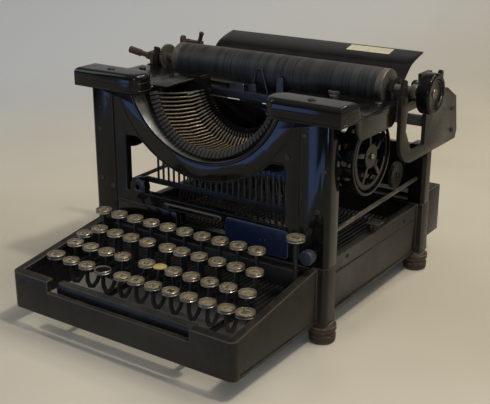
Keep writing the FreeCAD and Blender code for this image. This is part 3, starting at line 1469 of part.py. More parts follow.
def make_paper_table():
    y, z = s.platen_y.value, s.platen_z.value
    front, low = y + s.table_start.value, z - s.table_drop.value
    deep, rise = s.table_deep.value, s.table_rise.value
    line = [(front + deep * a, low + rise * b) for a, b in TABLE_CURVE]
    curve = Part.BSplineCurve()
    curve.interpolate([FreeCAD.Vector(s.table_left.value, a, b) for a, b in line])
    thick = s.table_thick.value
    back = Part.BSplineCurve()
    back.interpolate([FreeCAD.Vector(s.table_left.value, a, b - thick) for a, b in line])
    ends = [Part.makeLine(vec(s.table_left, *line[-1]), vec(s.table_left, line[-1][0],
                                                             line[-1][1] - thick)),
            Part.makeLine(vec(s.table_left, line[0][0], line[0][1] - thick),
                          vec(s.table_left, *line[0]))]
    wire = Part.Wire(Part.__sortEdges__([curve.toShape(), ends[0], back.toShape(), ends[1]]))
    sheet_metal = Part.Face(wire).extrude(vec(s.table_right - s.table_left, 0, 0))
    bar_top = s.back_bar_z + s.back_bar_tall + s.seat_gap + s.cradle_bar_tall
    feet = [Part.makeBox(s.table_foot_wide.value, s.table_foot_deep.value,
                         s.table_foot_tall.value, vec(x, s.back_bar_y - 1, bar_top))
            for x in (s.table_left + s.table_foot_inset,
                      s.table_right - s.table_foot_inset - s.table_foot_wide)]
    sheet_metal = sheet_metal.fuse(feet)
    node("paper_table", shape_of("table_shape", sheet_metal.removeSplitter()))


# Levers at the carriage's ends
def make_levers():
    y = s.handle_y
    hub = rod("handle_hub_disc", "Z", (s.handle_x, y), (s.handle_floor, s.handle_top),
              s.handle_hub)
    tip = vec(s.handle_tip_x, s.handle_tip_y, s.handle_tip_z)
    start = vec(s.handle_x, y, (s.handle_floor + s.handle_top) / 2)
    along = (tip - start).normalize()
    arm = bar_between(start + along * 3, tip - along * s.handle_radius.value, s.handle_radius)
    end = Part.makeSphere(s.handle_radius.value, tip - along * s.handle_radius.value)
    bore = rod("handle_bore", "Z", (s.handle_x, y), (s.handle_floor - 1, s.handle_top + 1),
               s.thumb_pin + s.running_gap)
    solid = fuse("handle_solid", hub, shape_of("handle_arm", arm.fuse(end)))
    node("line_space_lever", cut("handle_whole", solid, bore))

    low = s.cradle_left - s.thumb_thick - s.seat_gap
    wide = s.thumb_wide
    pin_y, pin_z = thumb_pivot()
    thumb = box("thumb_plate", (low, low + s.thumb_thick), (pin_y - wide / 2, pin_y + wide / 2),
                (pin_z - wide / 2, s.thumb_top))
    thumb = rounded("thumb_round", thumb, wide / 2 - 0.05, lambda edge: runs_along(edge, "x"))
    bore = rod("thumb_bore", "X", (pin_y, pin_z), (low - 1, low + s.thumb_thick + 1),
               s.thumb_pin + s.running_gap)
    node("paper_release_lever", cut("thumb_whole", thumb, bore))

    post = (s.carriage_left + s.end_thick / 2, s.release_y)
    arm_low = s.end_top + s.release_rise
    arm_high = arm_low + s.release_thick
    ring = rod("release_ring", "Z", post, (arm_low, arm_high), s.release_ring)
    arm = box("release_arm_bar", (post[0], post[0] + s.release_arm + s.release_thick),
              (s.release_y - wide / 2, s.release_y + wide / 2), (arm_low, arm_high))
    stalk_foot = vec(post[0] + s.release_arm, s.release_y, arm_low + 1)
    stalk_head = stalk_foot + vec(s.release_thick, 0, s.stalk_rise)
    stalk = shape_of("release_stalk", bar_between(stalk_foot, stalk_head, s.stalk_radius).fuse(
        Part.makeSphere(s.stalk_tip.value, stalk_head)))
    bore = rod("release_bore", "Z", post, (arm_low - 1, arm_high + 1),
               s.thumb_pin + s.running_gap)
    node("carriage_release_left",
         cut("release_whole", fuse("release_solid", ring, arm, stalk), bore))

    low = s.carriage_right + s.end_thick + s.seat_gap
    pin_y, pin_z = s.rod_rear_y + 2, s.end_top - 7
    plate = box("release_plate", (low, low + s.thumb_thick), (pin_y - wide / 2, pin_y + wide / 2),
                (pin_z - wide / 2, s.end_top + 21))
    plate = rounded("release_plate_round", plate, wide / 2 - 0.05,
                    lambda edge: runs_along(edge, "x"))
    bore = rod("release_plate_bore", "X", (pin_y, pin_z), (low - 1, low + s.thumb_thick + 1),
               s.thumb_pin + s.running_gap)
    node("carriage_release_right", cut("release_plate_whole", plate, bore))


# Drum, escapement wheel, gear and bell
def make_wheels():
    centre = (s.drum_x, s.drum_z)
    drum = rod("drum_body", "Y", centre, (s.drum_front, s.drum_back), s.drum_radius)
    groove = cut("drum_groove",
                 rod("drum_groove_out", "Y", centre, (s.drum_front + 3, s.drum_front + 7),
                     s.drum_radius + 1),
                 rod("drum_groove_in", "Y", centre, (s.drum_front + 2, s.drum_front + 8),
                     s.drum_radius - 2))
    bore = rod("drum_bore", "Y", centre, (s.drum_front - 1, s.drum_back + 1),
               s.stud_radius + s.running_gap)
    node("mainspring_drum", cut("drum_whole", drum, groove, bore))

    z = escape_z()
    pinion = rod("pinion_disc", "Y", (s.escape_x, z), (s.rack_y - 3, s.rack_y + s.rack_deep),
                 s.pinion_radius)
    star = Part.makeCylinder(s.escape_radius.value, 2.5, vec(s.escape_x, s.rack_y - 5.5, z),
                             FreeCAD.Vector(0, 1, 0))
    teeth = []
    for i in range(16):
        notch = Part.makeBox(2.4, 5, 3, FreeCAD.Vector(-1.2, -1, s.escape_radius.value - 2.2))
        notch.rotate(FreeCAD.Vector(), FreeCAD.Vector(0, 1, 0), i * 22.5)
        notch.translate(vec(s.escape_x, s.rack_y - 5.5, z))
        teeth.append(notch)
    wheel = fuse("escape_solid", pinion, shape_of("escape_star", star.cut(teeth)))
    bore = rod("escape_bore", "Y", (s.escape_x, z), (s.rack_y - 7, s.rack_y + s.rack_deep + 1),
               s.escape_stud + s.running_gap)
    node("escapement_wheel", cut("escape_whole", wheel, bore))

    top = vec(s.bell_x, s.bell_front, s.bell_z)
    along = FreeCAD.Vector(0, 1, 0)
    wall = s.bell_wall.value
    dome = Part.makeCone(s.bell_crown.value, s.bell_radius.value, s.bell_deep.value, top, along)
    hollow = Part.makeCone(s.bell_crown.value - wall, s.bell_radius.value - wall,
                           s.bell_deep.value, top + along * wall, along)
    post = Part.makeCylinder(s.bell_post.value, (s.rear_web_y - s.bell_front).value, top, along)
    node("bell", shape_of("bell_shape", dome.cut(hollow).fuse(post)))

    gear = toothed_disc("gear", s.gear_x, s.gear_x + s.gear_wide, s.gear_radius, s.gear_teeth,
                        (s.gear_y, s.gear_z), s.stud_radius + s.running_gap)
    node("ribbon_gear", gear)


make_base()
make_feet()
make_front()
make_covers()
make_rear()
make_bridge()
make_basket()
make_links()
make_comb()
node("pivot_rods", make_keys(), make_space_bar(), make_tall_key())
make_print_point()
make_spools()
make_ends()
make_carriage_bars()
make_cradle()
make_rollers()
make_platen()
make_paper_table()
make_levers()
make_wheels()
doc.recompute()

for thing in doc.Objects:
    if "Invalid" in thing.State or "Error" in thing.State:
        raise RuntimeError(f"{thing.Name} failed: {thing.State}")
for thing in NODES:
    if thing.Shape.isNull() or not thing.Shape.isValid() or not thing.Shape.Solids:
        raise RuntimeError(f"{thing.Label} has no valid shape")

os.makedirs("parts", exist_ok=True)
for thing in NODES:
    thing.Shape.exportStep(f"parts/{thing.Label}.step")
print(len(NODES), "nodes written")
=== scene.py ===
"""Looks of the front-strike typewriter: worn black enamel, tarnished steel, nickel-ringed keys."""

import math

import bmesh
import bpy
from mathutils import Matrix, Vector
from mathutils.bvhtree import BVHTree


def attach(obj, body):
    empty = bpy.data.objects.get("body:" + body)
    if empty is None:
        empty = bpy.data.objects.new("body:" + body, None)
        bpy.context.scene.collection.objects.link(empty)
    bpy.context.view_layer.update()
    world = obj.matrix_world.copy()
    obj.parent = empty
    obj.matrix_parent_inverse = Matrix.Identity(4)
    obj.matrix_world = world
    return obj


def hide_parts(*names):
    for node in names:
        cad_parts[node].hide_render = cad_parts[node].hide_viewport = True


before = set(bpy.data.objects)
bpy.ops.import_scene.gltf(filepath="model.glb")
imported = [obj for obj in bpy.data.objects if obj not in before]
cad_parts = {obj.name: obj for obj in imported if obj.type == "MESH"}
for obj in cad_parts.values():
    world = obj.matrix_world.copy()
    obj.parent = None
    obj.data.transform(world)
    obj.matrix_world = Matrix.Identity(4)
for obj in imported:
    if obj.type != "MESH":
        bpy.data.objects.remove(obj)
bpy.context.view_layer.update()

MM = 0.001
DATUM_Y = -70.5
UP = (0, 0, 1)
FORWARD = (0, -1, 0)
ARCH_CENTRE_Z = 229


def at(x, y, z):
    """A place in millimetres from the machine's datum, in metres in the part's frame."""
    return Vector((x * MM, (y + DATUM_Y) * MM, z * MM))


# Node trees
def add(tree, kind, inputs=None, **settings):
    """Add a node, set its properties and its unlinked inputs."""
    node = tree.nodes.new(kind)
    for name, value in settings.items():
        setattr(node, name, value)
    for name, value in (inputs or {}).items():
        node.inputs[name].default_value = value
    return node


def join(tree, source, target):
    """Link an output socket to an input socket."""
    tree.links.new(source, target)


def math_node(tree, operation, first, second=None, clamp=False):
    """A Math node on sockets or numbers; returns its output."""
    node = add(tree, "ShaderNodeMath", operation=operation, use_clamp=clamp)
    for index, value in enumerate((first, second)):
        if value is None:
            continue
        if isinstance(value, (int, float)):
            node.inputs[index].default_value = value
        else:
            join(tree, value, node.inputs[index])
    return node.outputs[0]


def ramp(tree, value, low, high):
    """Stretch a value so that low becomes 0 and high becomes 1, with soft ends."""
    node = add(tree, "ShaderNodeMapRange", interpolation_type="SMOOTHSTEP",
               inputs={"From Min": low, "From Max": high})
    join(tree, value, node.inputs["Value"])
    return node.outputs["Result"]


def noise(tree, place, scale, detail=4.0, roughness=0.6, stretch=None):
    """Noise over a place socket; scale is a number or a socket."""
    if stretch:
        mapping = add(tree, "ShaderNodeMapping", inputs={"Scale": stretch})
        join(tree, place, mapping.inputs["Vector"])
        place = mapping.outputs["Vector"]
    node = add(tree, "ShaderNodeTexNoise", inputs={"Detail": detail, "Roughness": roughness})
    join(tree, place, node.inputs["Vector"])
    if isinstance(scale, (int, float)):
        node.inputs["Scale"].default_value = scale
    else:
        join(tree, scale, node.inputs["Scale"])
    return node.outputs["Fac"]


def mix_colour(tree, factor, first, second):
    """Mix two colours given as tuples or sockets."""
    node = add(tree, "ShaderNodeMix", data_type="RGBA")
    join(tree, factor, node.inputs["Factor"])
    for name, value in (("A", first), ("B", second)):
        socket = next(i for i in node.inputs if i.name == name and i.type == "RGBA")
        if isinstance(value, tuple):
            socket.default_value = (*value, 1.0)
        else:
            join(tree, value, socket)
    return next(o for o in node.outputs if o.type == "RGBA")


def group_tree(name, inputs, outputs):
    """A shader group with float inputs (name: default), a place input and outputs."""
    tree = bpy.data.node_groups.new(name, "ShaderNodeTree")
    tree.interface.new_socket(name="Place", in_out="INPUT", socket_type="NodeSocketVector")
    for label, default in inputs.items():
        socket = tree.interface.new_socket(name=label, in_out="INPUT",
                                           socket_type="NodeSocketFloat")
        socket.default_value = default
    for label in outputs:
        tree.interface.new_socket(name=label, in_out="OUTPUT", socket_type="NodeSocketFloat")
    return tree, tree.nodes.new("NodeGroupInput"), tree.nodes.new("NodeGroupOutput")


def make_chip_and_highlight_group():
    """Paint lost at the edges and in small specks; the light edge part also stands in for painted
    edge highlights.
    """
    tree, inner, outer = group_tree("Paint_chips_and_edge_highlights", {"Edge": 0.0, "Amount": 0.5, "Specks": 0.5},
                                    ["Mask", "Height"])
    place = inner.outputs["Place"]
    coarse = noise(tree, place, 90.0, 6.0, 0.7)
    fine = noise(tree, place, 420.0, 5.0, 0.75)
    ragged = math_node(tree, "ADD", math_node(tree, "MULTIPLY", coarse, 0.62),
                       math_node(tree, "MULTIPLY", fine, 0.38))
    lift = math_node(tree, "MULTIPLY", inner.outputs["Edge"],
                     math_node(tree, "MULTIPLY", inner.outputs["Amount"], 0.34))
    edge_mask = ramp(tree, math_node(tree, "ADD", ragged, lift), 0.63, 0.70)
    cells = add(tree, "ShaderNodeTexVoronoi", feature="F1", inputs={"Scale": 150.0})
    join(tree, place, cells.inputs["Vector"])
    near = math_node(tree, "SUBTRACT", 1.0, cells.outputs["Distance"])
    patchy = noise(tree, place, 24.0, 3.0, 0.6)
    speck = math_node(tree, "MULTIPLY", ramp(tree, near, 0.86, 0.93),
                      ramp(tree, patchy, 0.52, 0.66))
    speck = math_node(tree, "MULTIPLY", speck, inner.outputs["Specks"])
    total = math_node(tree, "MAXIMUM", edge_mask, speck, clamp=True)
    join(tree, total, outer.inputs["Mask"])
    join(tree, math_node(tree, "SUBTRACT", 1.0, total), outer.inputs["Height"])
    return tree


def make_grime_group():
    """Uneven dull film: a cloudy mask, and streaks that run down."""
    tree, inner, outer = group_tree("Grime_film", {"Scale": 18.0, "Amount": 0.5}, ["Mask"])
    place = inner.outputs["Place"]
    cloud = ramp(tree, noise(tree, place, inner.outputs["Scale"], 7.0, 0.65), 0.36, 0.72)
    run = ramp(tree, noise(tree, place, inner.outputs["Scale"], 4.0, 0.5,
                           stretch=(3.0, 3.0, 0.5)), 0.42, 0.75)
    both = math_node(tree, "ADD", math_node(tree, "MULTIPLY", cloud, 0.65),
                     math_node(tree, "MULTIPLY", run, 0.35))
    join(tree, math_node(tree, "MULTIPLY", both, inner.outputs["Amount"], clamp=True),
         outer.inputs["Mask"])
    return tree


def make_dust_group():
    """Dust that settles on what faces up."""
    tree, inner, outer = group_tree("Settled_dust", {"Amount": 0.4}, ["Mask"])
    geometry = tree.nodes.new("ShaderNodeNewGeometry")
    split = tree.nodes.new("ShaderNodeSeparateXYZ")
    join(tree, geometry.outputs["Normal"], split.inputs[0])
    up = ramp(tree, split.outputs["Z"], 0.35, 0.95)
    cloud = ramp(tree, noise(tree, inner.outputs["Place"], 55.0, 6.0, 0.7), 0.3, 0.75)
    total = math_node(tree, "MULTIPLY", math_node(tree, "MULTIPLY", up, cloud),
                      inner.outputs["Amount"], clamp=True)
    join(tree, total, outer.inputs["Mask"])
    return tree


def make_tarnish_group():
    """Brown bloom and fine pits on bare metal."""
    tree, inner, outer = group_tree("Tarnish_bloom", {"Scale": 60.0, "Amount": 0.5},
                                    ["Mask", "Pits", "Grain"])
    place = inner.outputs["Place"]
    cloud = noise(tree, place, inner.outputs["Scale"], 7.0, 0.7)
    fine = noise(tree, place, 700.0, 3.0, 0.6)
    blend = math_node(tree, "ADD", math_node(tree, "MULTIPLY", cloud, 0.8),
                      math_node(tree, "MULTIPLY", fine, 0.2))
    mask = math_node(tree, "MULTIPLY", ramp(tree, blend, 0.36, 0.66), inner.outputs["Amount"],
                     clamp=True)
    join(tree, mask, outer.inputs["Mask"])
    join(tree, ramp(tree, fine, 0.30, 0.48), outer.inputs["Pits"])
    join(tree, noise(tree, place, 260.0, 2.0, 0.5, stretch=(1.0, 6.0, 6.0)),
         outer.inputs["Grain"])
    return tree


CHIPS_AND_EDGE_HIGHLIGHTS = make_chip_and_highlight_group()
GRIME = make_grime_group()
DUST = make_dust_group()
TARNISH = make_tarnish_group()


def use_group(tree, group, place, **values):
    """Place a shader group in a material, with its own values."""
    node = add(tree, "ShaderNodeGroup", node_tree=group)
    join(tree, place, node.inputs["Place"])
    for name, value in values.items():
        if isinstance(value, (int, float)):
            node.inputs[name].default_value = value
        else:
            join(tree, value, node.inputs[name])
    return node


def start_material(name):
    """A material with its Principled BSDF and Object coordinates."""
    material = bpy.data.materials.new(name)
    material.use_nodes = True
    tree = material.node_tree
    shader = tree.nodes["Principled BSDF"]
    place = tree.nodes.new("ShaderNodeTexCoord").outputs["Object"]
    return material, tree, shader, place


def bump(tree, shader, height, strength, distance=0.0004):
    """Drive the shader's normal from a height."""
    node = add(tree, "ShaderNodeBump", inputs={"Strength": strength, "Distance": distance})
    join(tree, height, node.inputs["Height"])
    join(tree, node.outputs["Normal"], shader.inputs["Normal"])


def painted(name, colour, worn_and_edge_highlight, dust, gloss, edge_wear_and_highlight, specks, grime_amount, dust_amount,
            texture=0.25, shine=0.3):
    """Old enamel over iron: chipped edges, specks, a dull film and dust; the light colour on the
    bevelled edges is partly wear, partly painted edge highlight.
    """
    material, tree, shader, place = start_material(name)
    shader.inputs["Specular IOR Level"].default_value = shine
    edge = add(tree, "ShaderNodeAttribute", attribute_name="edge").outputs["Fac"]
    chips_and_edge_highlights = use_group(tree, CHIPS_AND_EDGE_HIGHLIGHTS, place, Edge=edge, Amount=edge_wear_and_highlight, Specks=specks)
    grime = use_group(tree, GRIME, place, Scale=16.0, Amount=grime_amount)
    settled = use_group(tree, DUST, place, Amount=dust_amount)
    mottle = use_group(tree, GRIME, place, Scale=120.0, Amount=grime_amount * 0.7)
    base = mix_colour(tree, grime.outputs["Mask"], colour, dust)
    base = mix_colour(tree, mottle.outputs["Mask"], base, tuple(0.8 * c for c in dust))
    base = mix_colour(tree, settled.outputs["Mask"], base, dust)
    tone = noise(tree, place, 130.0, 4.0, 0.7)
    bare = mix_colour(tree, tone, worn_and_edge_highlight, tuple(c * 0.45 for c in worn_and_edge_highlight))
    base = mix_colour(tree, chips_and_edge_highlights.outputs["Mask"], base, bare)
    join(tree, base, shader.inputs["Base Color"])
    film = math_node(tree, "MULTIPLY", grime.outputs["Mask"], 0.28)
    film = math_node(tree, "ADD", film, math_node(tree, "MULTIPLY", settled.outputs["Mask"], 0.5))
    film = math_node(tree, "ADD", film, math_node(tree, "MULTIPLY", chips_and_edge_highlights.outputs["Mask"], 0.3))
    rough = math_node(tree, "ADD", film, gloss, clamp=True)
    join(tree, rough, shader.inputs["Roughness"])
    grain = noise(tree, place, 1400.0, 2.0, 0.5)
    wave = noise(tree, place, 45.0, 3.0, 0.5)
    height = math_node(tree, "ADD", math_node(tree, "MULTIPLY", chips_and_edge_highlights.outputs["Height"], 0.6),
                       math_node(tree, "ADD", math_node(tree, "MULTIPLY", grain, 0.12),
                                 math_node(tree, "MULTIPLY", wave, 0.9)))
    bump(tree, shader, height, texture)
    return material


def bare_metal(name, colour, stain, rough, tarnish, scale=60.0, metallic=1.0, grain=0.2):
    """Bare or plated metal with brown bloom, pits and fine lines."""
    material, tree, shader, place = start_material(name)
    bloom = use_group(tree, TARNISH, place, Scale=scale, Amount=tarnish)
    edge = add(tree, "ShaderNodeAttribute", attribute_name="edge").outputs["Fac"]
    rub = math_node(tree, "MULTIPLY", edge, 0.6)
    mask = math_node(tree, "SUBTRACT", bloom.outputs["Mask"], rub, clamp=True)
    base = mix_colour(tree, mask, colour, stain)
    join(tree, base, shader.inputs["Base Color"])
    metal = math_node(tree, "SUBTRACT", metallic, math_node(tree, "MULTIPLY", mask, 0.75),
                      clamp=True)
    join(tree, metal, shader.inputs["Metallic"])
    join(tree, math_node(tree, "ADD", math_node(tree, "MULTIPLY", mask, 0.4), rough, clamp=True),
         shader.inputs["Roughness"])
    height = math_node(tree, "ADD", math_node(tree, "MULTIPLY", bloom.outputs["Pits"], 0.5),
                       math_node(tree, "MULTIPLY", bloom.outputs["Grain"], 0.5))
    bump(tree, shader, height, grain, 0.0002)
    return material


def plain_gloss(name, colour, spot, rough, scale, coat=0.0, strength=0.1, shine=0.4,
                film=0.25, lines=0.0):
    """Rubber, wood, celluloid or card: a mottled colour with a faint texture.

    film is how much dust settles on it and lines how deep the turning marks across X are."""
    material, tree, shader, place = start_material(name)
    shader.inputs["Specular IOR Level"].default_value = shine
    mottle = noise(tree, place, scale, 6.0, 0.7)
    base = mix_colour(tree, ramp(tree, mottle, 0.35, 0.7), colour, spot)
    settled = use_group(tree, DUST, place, Amount=film)
    base = mix_colour(tree, settled.outputs["Mask"], base, (0.16, 0.145, 0.12))
    join(tree, math_node(tree, "ADD", math_node(tree, "MULTIPLY", mottle, 0.2), rough,
                         clamp=True), shader.inputs["Roughness"])
    shader.inputs["Coat Weight"].default_value = coat
    fine = noise(tree, place, 900.0, 3.0, 0.6)
    if lines:
        turned = ramp(tree, noise(tree, place, 260.0, 1.0, 0.5, stretch=(2.0, 0.01, 0.01)),
                      0.40, 0.60)
        fine = math_node(tree, "ADD", fine, math_node(tree, "MULTIPLY", turned, lines))
        base = mix_colour(tree, turned, base, tuple(0.55 * c for c in colour))
    join(tree, base, shader.inputs["Base Color"])
    bump(tree, shader, fine, strength, 0.0002)
    return material


# A high edge amount and a light worn colour give thin light edges: partly chipped wear, partly
# painted edge highlights.
ENAMEL = painted("worn_black_enamel", (0.0030, 0.0029, 0.0029), (0.115, 0.088, 0.060),
                 (0.0165, 0.0138, 0.0102), 0.09, 1.1, 0.6, 0.42, 0.30, texture=0.08, shine=0.26)
IRON = painted("dull_black_castings", (0.0055, 0.0049, 0.0044), (0.080, 0.057, 0.037),
               (0.030, 0.0245, 0.0175), 0.24, 1.1, 1.0, 0.95, 0.45, texture=0.4, shine=0.27)
DEEP_BLACK = painted("deep_black_enamel", (0.0030, 0.0030, 0.0031), (0.050, 0.038, 0.026),
                     (0.014, 0.012, 0.0095), 0.10, 0.4, 0.4, 0.3, 0.12, texture=0.15, shine=0.2)
RUST = painted("rust_brown_iron", (0.062, 0.039, 0.021), (0.17, 0.115, 0.065),
               (0.026, 0.017, 0.010), 0.5, 0.6, 0.6, 0.8, 0.1, texture=0.8)
BLUE = painted("blue_black_enamel", (0.0110, 0.0180, 0.044), (0.12, 0.12, 0.13),
               (0.014, 0.018, 0.032), 0.20, 1.5, 1.0, 0.7, 0.15, texture=0.3)
STEEL = bare_metal("tarnished_steel", (0.24, 0.21, 0.165), (0.040, 0.029, 0.019), 0.30, 0.85)
LEVER_STEEL = bare_metal("blackened_levers", (0.045, 0.041, 0.036), (0.016, 0.013, 0.010), 0.34,
                         0.9, metallic=0.7)
NICKEL = bare_metal("old_nickel_plate", (0.42, 0.37, 0.285), (0.070, 0.051, 0.030), 0.22, 0.8,
                    scale=240.0)
BRASS = bare_metal("dull_brass", (0.33, 0.235, 0.115), (0.055, 0.037, 0.020), 0.32, 0.8)
RUBBER = plain_gloss("hard_black_rubber", (0.0185, 0.0174, 0.0156), (0.031, 0.0285, 0.0245), 0.40,
                     70.0, strength=0.35, shine=0.45, film=0.10, lines=0.8)
WOOD = plain_gloss("black_stained_wood", (0.0085, 0.0075, 0.0068), (0.022, 0.018, 0.014), 0.3,
                   90.0, film=0.12, shine=0.3)
KEY_FACE = plain_gloss("yellowed_key_face", (0.33, 0.255, 0.14), (0.15, 0.108, 0.055), 0.20,
                       420.0, coat=0.35, film=0.06)
BARE_FACE = plain_gloss("bare_yellow_disc", (0.44, 0.31, 0.105), (0.33, 0.22, 0.07), 0.5, 200.0,
                         film=0.05)
KEY_INK = plain_gloss("key_ink", (0.022, 0.018, 0.014), (0.035, 0.03, 0.024), 0.5, 200.0,
                      film=0.05)
CARD = plain_gloss("old_card", (0.50, 0.45, 0.32), (0.40, 0.35, 0.24), 0.7, 60.0, film=0.05)

# Near black: painted shade that makes the type slugs fade into the dark.
SLUG_SHADE = plain_gloss("slugs_painted_in_shade", (0.012, 0.010, 0.0085), (0.030, 0.023, 0.016), 0.42,
                         300.0, film=0.12)
BAR_STEEL = bare_metal("brown_typebars", (0.27, 0.215, 0.145), (0.045, 0.031, 0.019), 0.32, 0.8,
                       scale=160.0)
GUARD_STEEL = bare_metal("dull_arch_lining", (0.13, 0.125, 0.115), (0.028, 0.022, 0.017), 0.34,
                         0.8)
BLUE_STEEL = bare_metal("blued_steel", (0.085, 0.095, 0.118), (0.022, 0.020, 0.019), 0.30, 0.8)
# Near black and matt: painted shade inside the holes and in the empty key's cup.
PAINTED_HOLE_SHADE = plain_gloss("painted_hole_shade", (0.003, 0.003, 0.003), (0.006, 0.005, 0.005), 0.9, 60.0,
                        film=0.0, shine=0.1)
SCREW_STEEL = bare_metal("dull_screw_heads", (0.085, 0.076, 0.060), (0.020, 0.015, 0.010), 0.36,
                         0.85, scale=260.0)


# Meshes
def keep(name, mesh, *materials):
    """Put a mesh in the scene as an object at the origin."""
    obj = bpy.data.objects.new(name, mesh)
    bpy.context.scene.collection.objects.link(obj)
    for material in materials:
        mesh.materials.append(material)
    return obj


def built(name, bm, *materials):
    """Put a bmesh in the scene as an object and free it."""
    mesh = bpy.data.meshes.new(name)
    bm.to_mesh(mesh)
    bm.free()
    return keep(name, mesh, *materials)


def baked(obj):
    """Turn an object with modifiers into a plain mesh object of the same name."""
    depsgraph = bpy.context.evaluated_depsgraph_get()
    mesh = bpy.data.meshes.new_from_object(obj.evaluated_get(depsgraph),
                                           preserve_all_data_layers=True, depsgraph=depsgraph)
    obj.modifiers.clear()
    old = obj.data
    obj.data = mesh
    if old.users == 0 and isinstance(old, bpy.types.Mesh):
        bpy.data.meshes.remove(old)
    return obj


def mark_edges(mesh):
    """Keep which faces the bevel made in a face attribute that the paint reads."""
    attribute = mesh.attributes.new("edge", "FLOAT", "FACE")
    marks = [0.0] * len(mesh.polygons)
    for polygon in mesh.polygons:
        if polygon.material_index:
            marks[polygon.index] = 1.0
            polygon.material_index = 0
    attribute.data.foreach_set("value", marks)


def smooth(mesh, angle=0.6):
    """Shade smooth, but leave edges sharper than an angle."""
    mesh.polygons.foreach_set("use_smooth", [True] * len(mesh.polygons))
    mesh.set_sharp_from_angle(angle=angle)


def softened(obj, width, segments=2, angle=0.55):
    """Round an object's sharp edges and remember the new faces."""
    material = obj.data.materials[0]
    obj.data.materials.append(material)
    bevel = obj.modifiers.new("rounding", "BEVEL")
    bevel.width = width * MM
    bevel.segments = segments
    bevel.limit_method = "ANGLE"
    bevel.angle_limit = angle
    bevel.material = 1
    bevel.harden_normals = False
    baked(obj)
    mark_edges(obj.data)
    obj.data.materials.pop()
    smooth(obj.data)
    return obj


def dressed(node, body, slot_name, material, width=0.5, segments=2):
    """A CAD node's own shape with rounded edges and a finish, standing for that node."""
    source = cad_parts[node].data
    bm = bmesh.new()
    bm.from_mesh(source)
    bmesh.ops.remove_doubles(bm, verts=bm.verts, dist=2e-6)
    bmesh.ops.dissolve_limit(bm, angle_limit=0.01, verts=bm.verts, edges=bm.edges,
                             delimit={"NORMAL"})
    obj = built(node + "_dressed", bm, material)
    if width:
        softened(obj, width, segments)
    else:
        smooth(obj.data)
    return riding(obj, body, slot_name, node)


def lathe(name, profile, steps, *materials, changes=()):
    """A shape turned about Z from (radius, height) points in millimetres.

    changes holds the profile steps at which the next material starts."""
    bm = bmesh.new()
    rings = []
    for radius, height in profile:
        if radius < 1e-6:
            rings.append([bm.verts.new((0, 0, height * MM))])
            continue
        rings.append([bm.verts.new((radius * MM * math.cos(2 * math.pi * i / steps),
                                    radius * MM * math.sin(2 * math.pi * i / steps),
                                    height * MM)) for i in range(steps)])
    for number, (low, high) in enumerate(zip(rings, rings[1:])):
        index = sum(1 for change in changes if number >= change)
        for i in range(steps):
            k = (i + 1) % steps
            if len(low) == 1:
                face = bm.faces.new((low[0], high[i], high[k]))
            elif len(high) == 1:
                face = bm.faces.new((low[i], high[0], low[k]))
            else:
                face = bm.faces.new((low[i], high[i], high[k], low[k]))
            face.material_index = index
    bmesh.ops.recalc_face_normals(bm, faces=bm.faces)
    obj = built(name, bm, *materials)
    smooth(obj.data, 0.7)
    return obj


def joined(name, objects):
    """One object from several; their places go into the mesh."""
    bm = bmesh.new()
    materials = []
    for obj in objects:
        part = obj.data.copy()
        part.transform(obj.matrix_world)
        slots = []
        for material in obj.data.materials:
            if material not in materials:
                materials.append(material)
            slots.append(materials.index(material))
        for polygon in part.polygons:
            polygon.material_index = slots[polygon.material_index] if slots else 0
        bm.from_mesh(part)
        bpy.data.meshes.remove(part)
    drop(*objects)
    whole = built(name, bm, *materials)
    smooth(whole.data, 0.7)
    return whole


# Repeated pieces on points
def make_scatter_tree():
    """Geometry Nodes: one piece on each point, aimed along the point's aim attribute."""
    tree = bpy.data.node_groups.new("Piece_on_points", "GeometryNodeTree")
    for label, kind in (("Geometry", "Geometry"), ("Piece", "Object"), ("Material", "Material"),
                        ("Size", "Float"), ("Turn", "Float"), ("Seed", "Int")):
        tree.interface.new_socket(name=label, in_out="INPUT", socket_type="NodeSocket" + kind)
    tree.interface.new_socket(name="Geometry", in_out="OUTPUT",
                              socket_type="NodeSocketGeometry")
    inner = tree.nodes.new("NodeGroupInput")
    outer = tree.nodes.new("NodeGroupOutput")
    info = tree.nodes.new("GeometryNodeObjectInfo")
    info.inputs["As Instance"].default_value = True
    aim = add(tree, "GeometryNodeInputNamedAttribute", data_type="FLOAT_VECTOR",
              inputs={"Name": "aim"})
    align = add(tree, "FunctionNodeAlignRotationToVector", axis="Z")
    turn = add(tree, "FunctionNodeRandomValue", data_type="FLOAT")
    spin = tree.nodes.new("FunctionNodeAxisAngleToRotation")
    twist = add(tree, "FunctionNodeRotateRotation", rotation_space="LOCAL")
    place = tree.nodes.new("GeometryNodeInstanceOnPoints")
    real = tree.nodes.new("GeometryNodeRealizeInstances")
    finish = tree.nodes.new("GeometryNodeSetMaterial")
    least = math_node(tree, "MULTIPLY", inner.outputs["Turn"], -1.0)
    for source, target in (
            (inner.outputs["Piece"], info.inputs["Object"]),
            (aim.outputs["Attribute"], align.inputs["Vector"]),
            (least, turn.inputs[2]),
            (inner.outputs["Turn"], turn.inputs[3]),
            (inner.outputs["Seed"], turn.inputs["Seed"]),
            (turn.outputs[1], spin.inputs["Angle"]),
            (align.outputs["Rotation"], twist.inputs["Rotation"]),
            (spin.outputs["Rotation"], twist.inputs["Rotate By"]),
            (inner.outputs["Geometry"], place.inputs["Points"]),
            (info.outputs["Geometry"], place.inputs["Instance"]),
            (twist.outputs["Rotation"], place.inputs["Rotation"]),
            (inner.outputs["Size"], place.inputs["Scale"]),
            (place.outputs["Instances"], real.inputs["Geometry"]),
            (real.outputs["Geometry"], finish.inputs["Geometry"]),
            (inner.outputs["Material"], finish.inputs["Material"]),
            (finish.outputs["Geometry"], outer.inputs["Geometry"])):
        join(tree, source, target)
    return tree


SCATTER = make_scatter_tree()


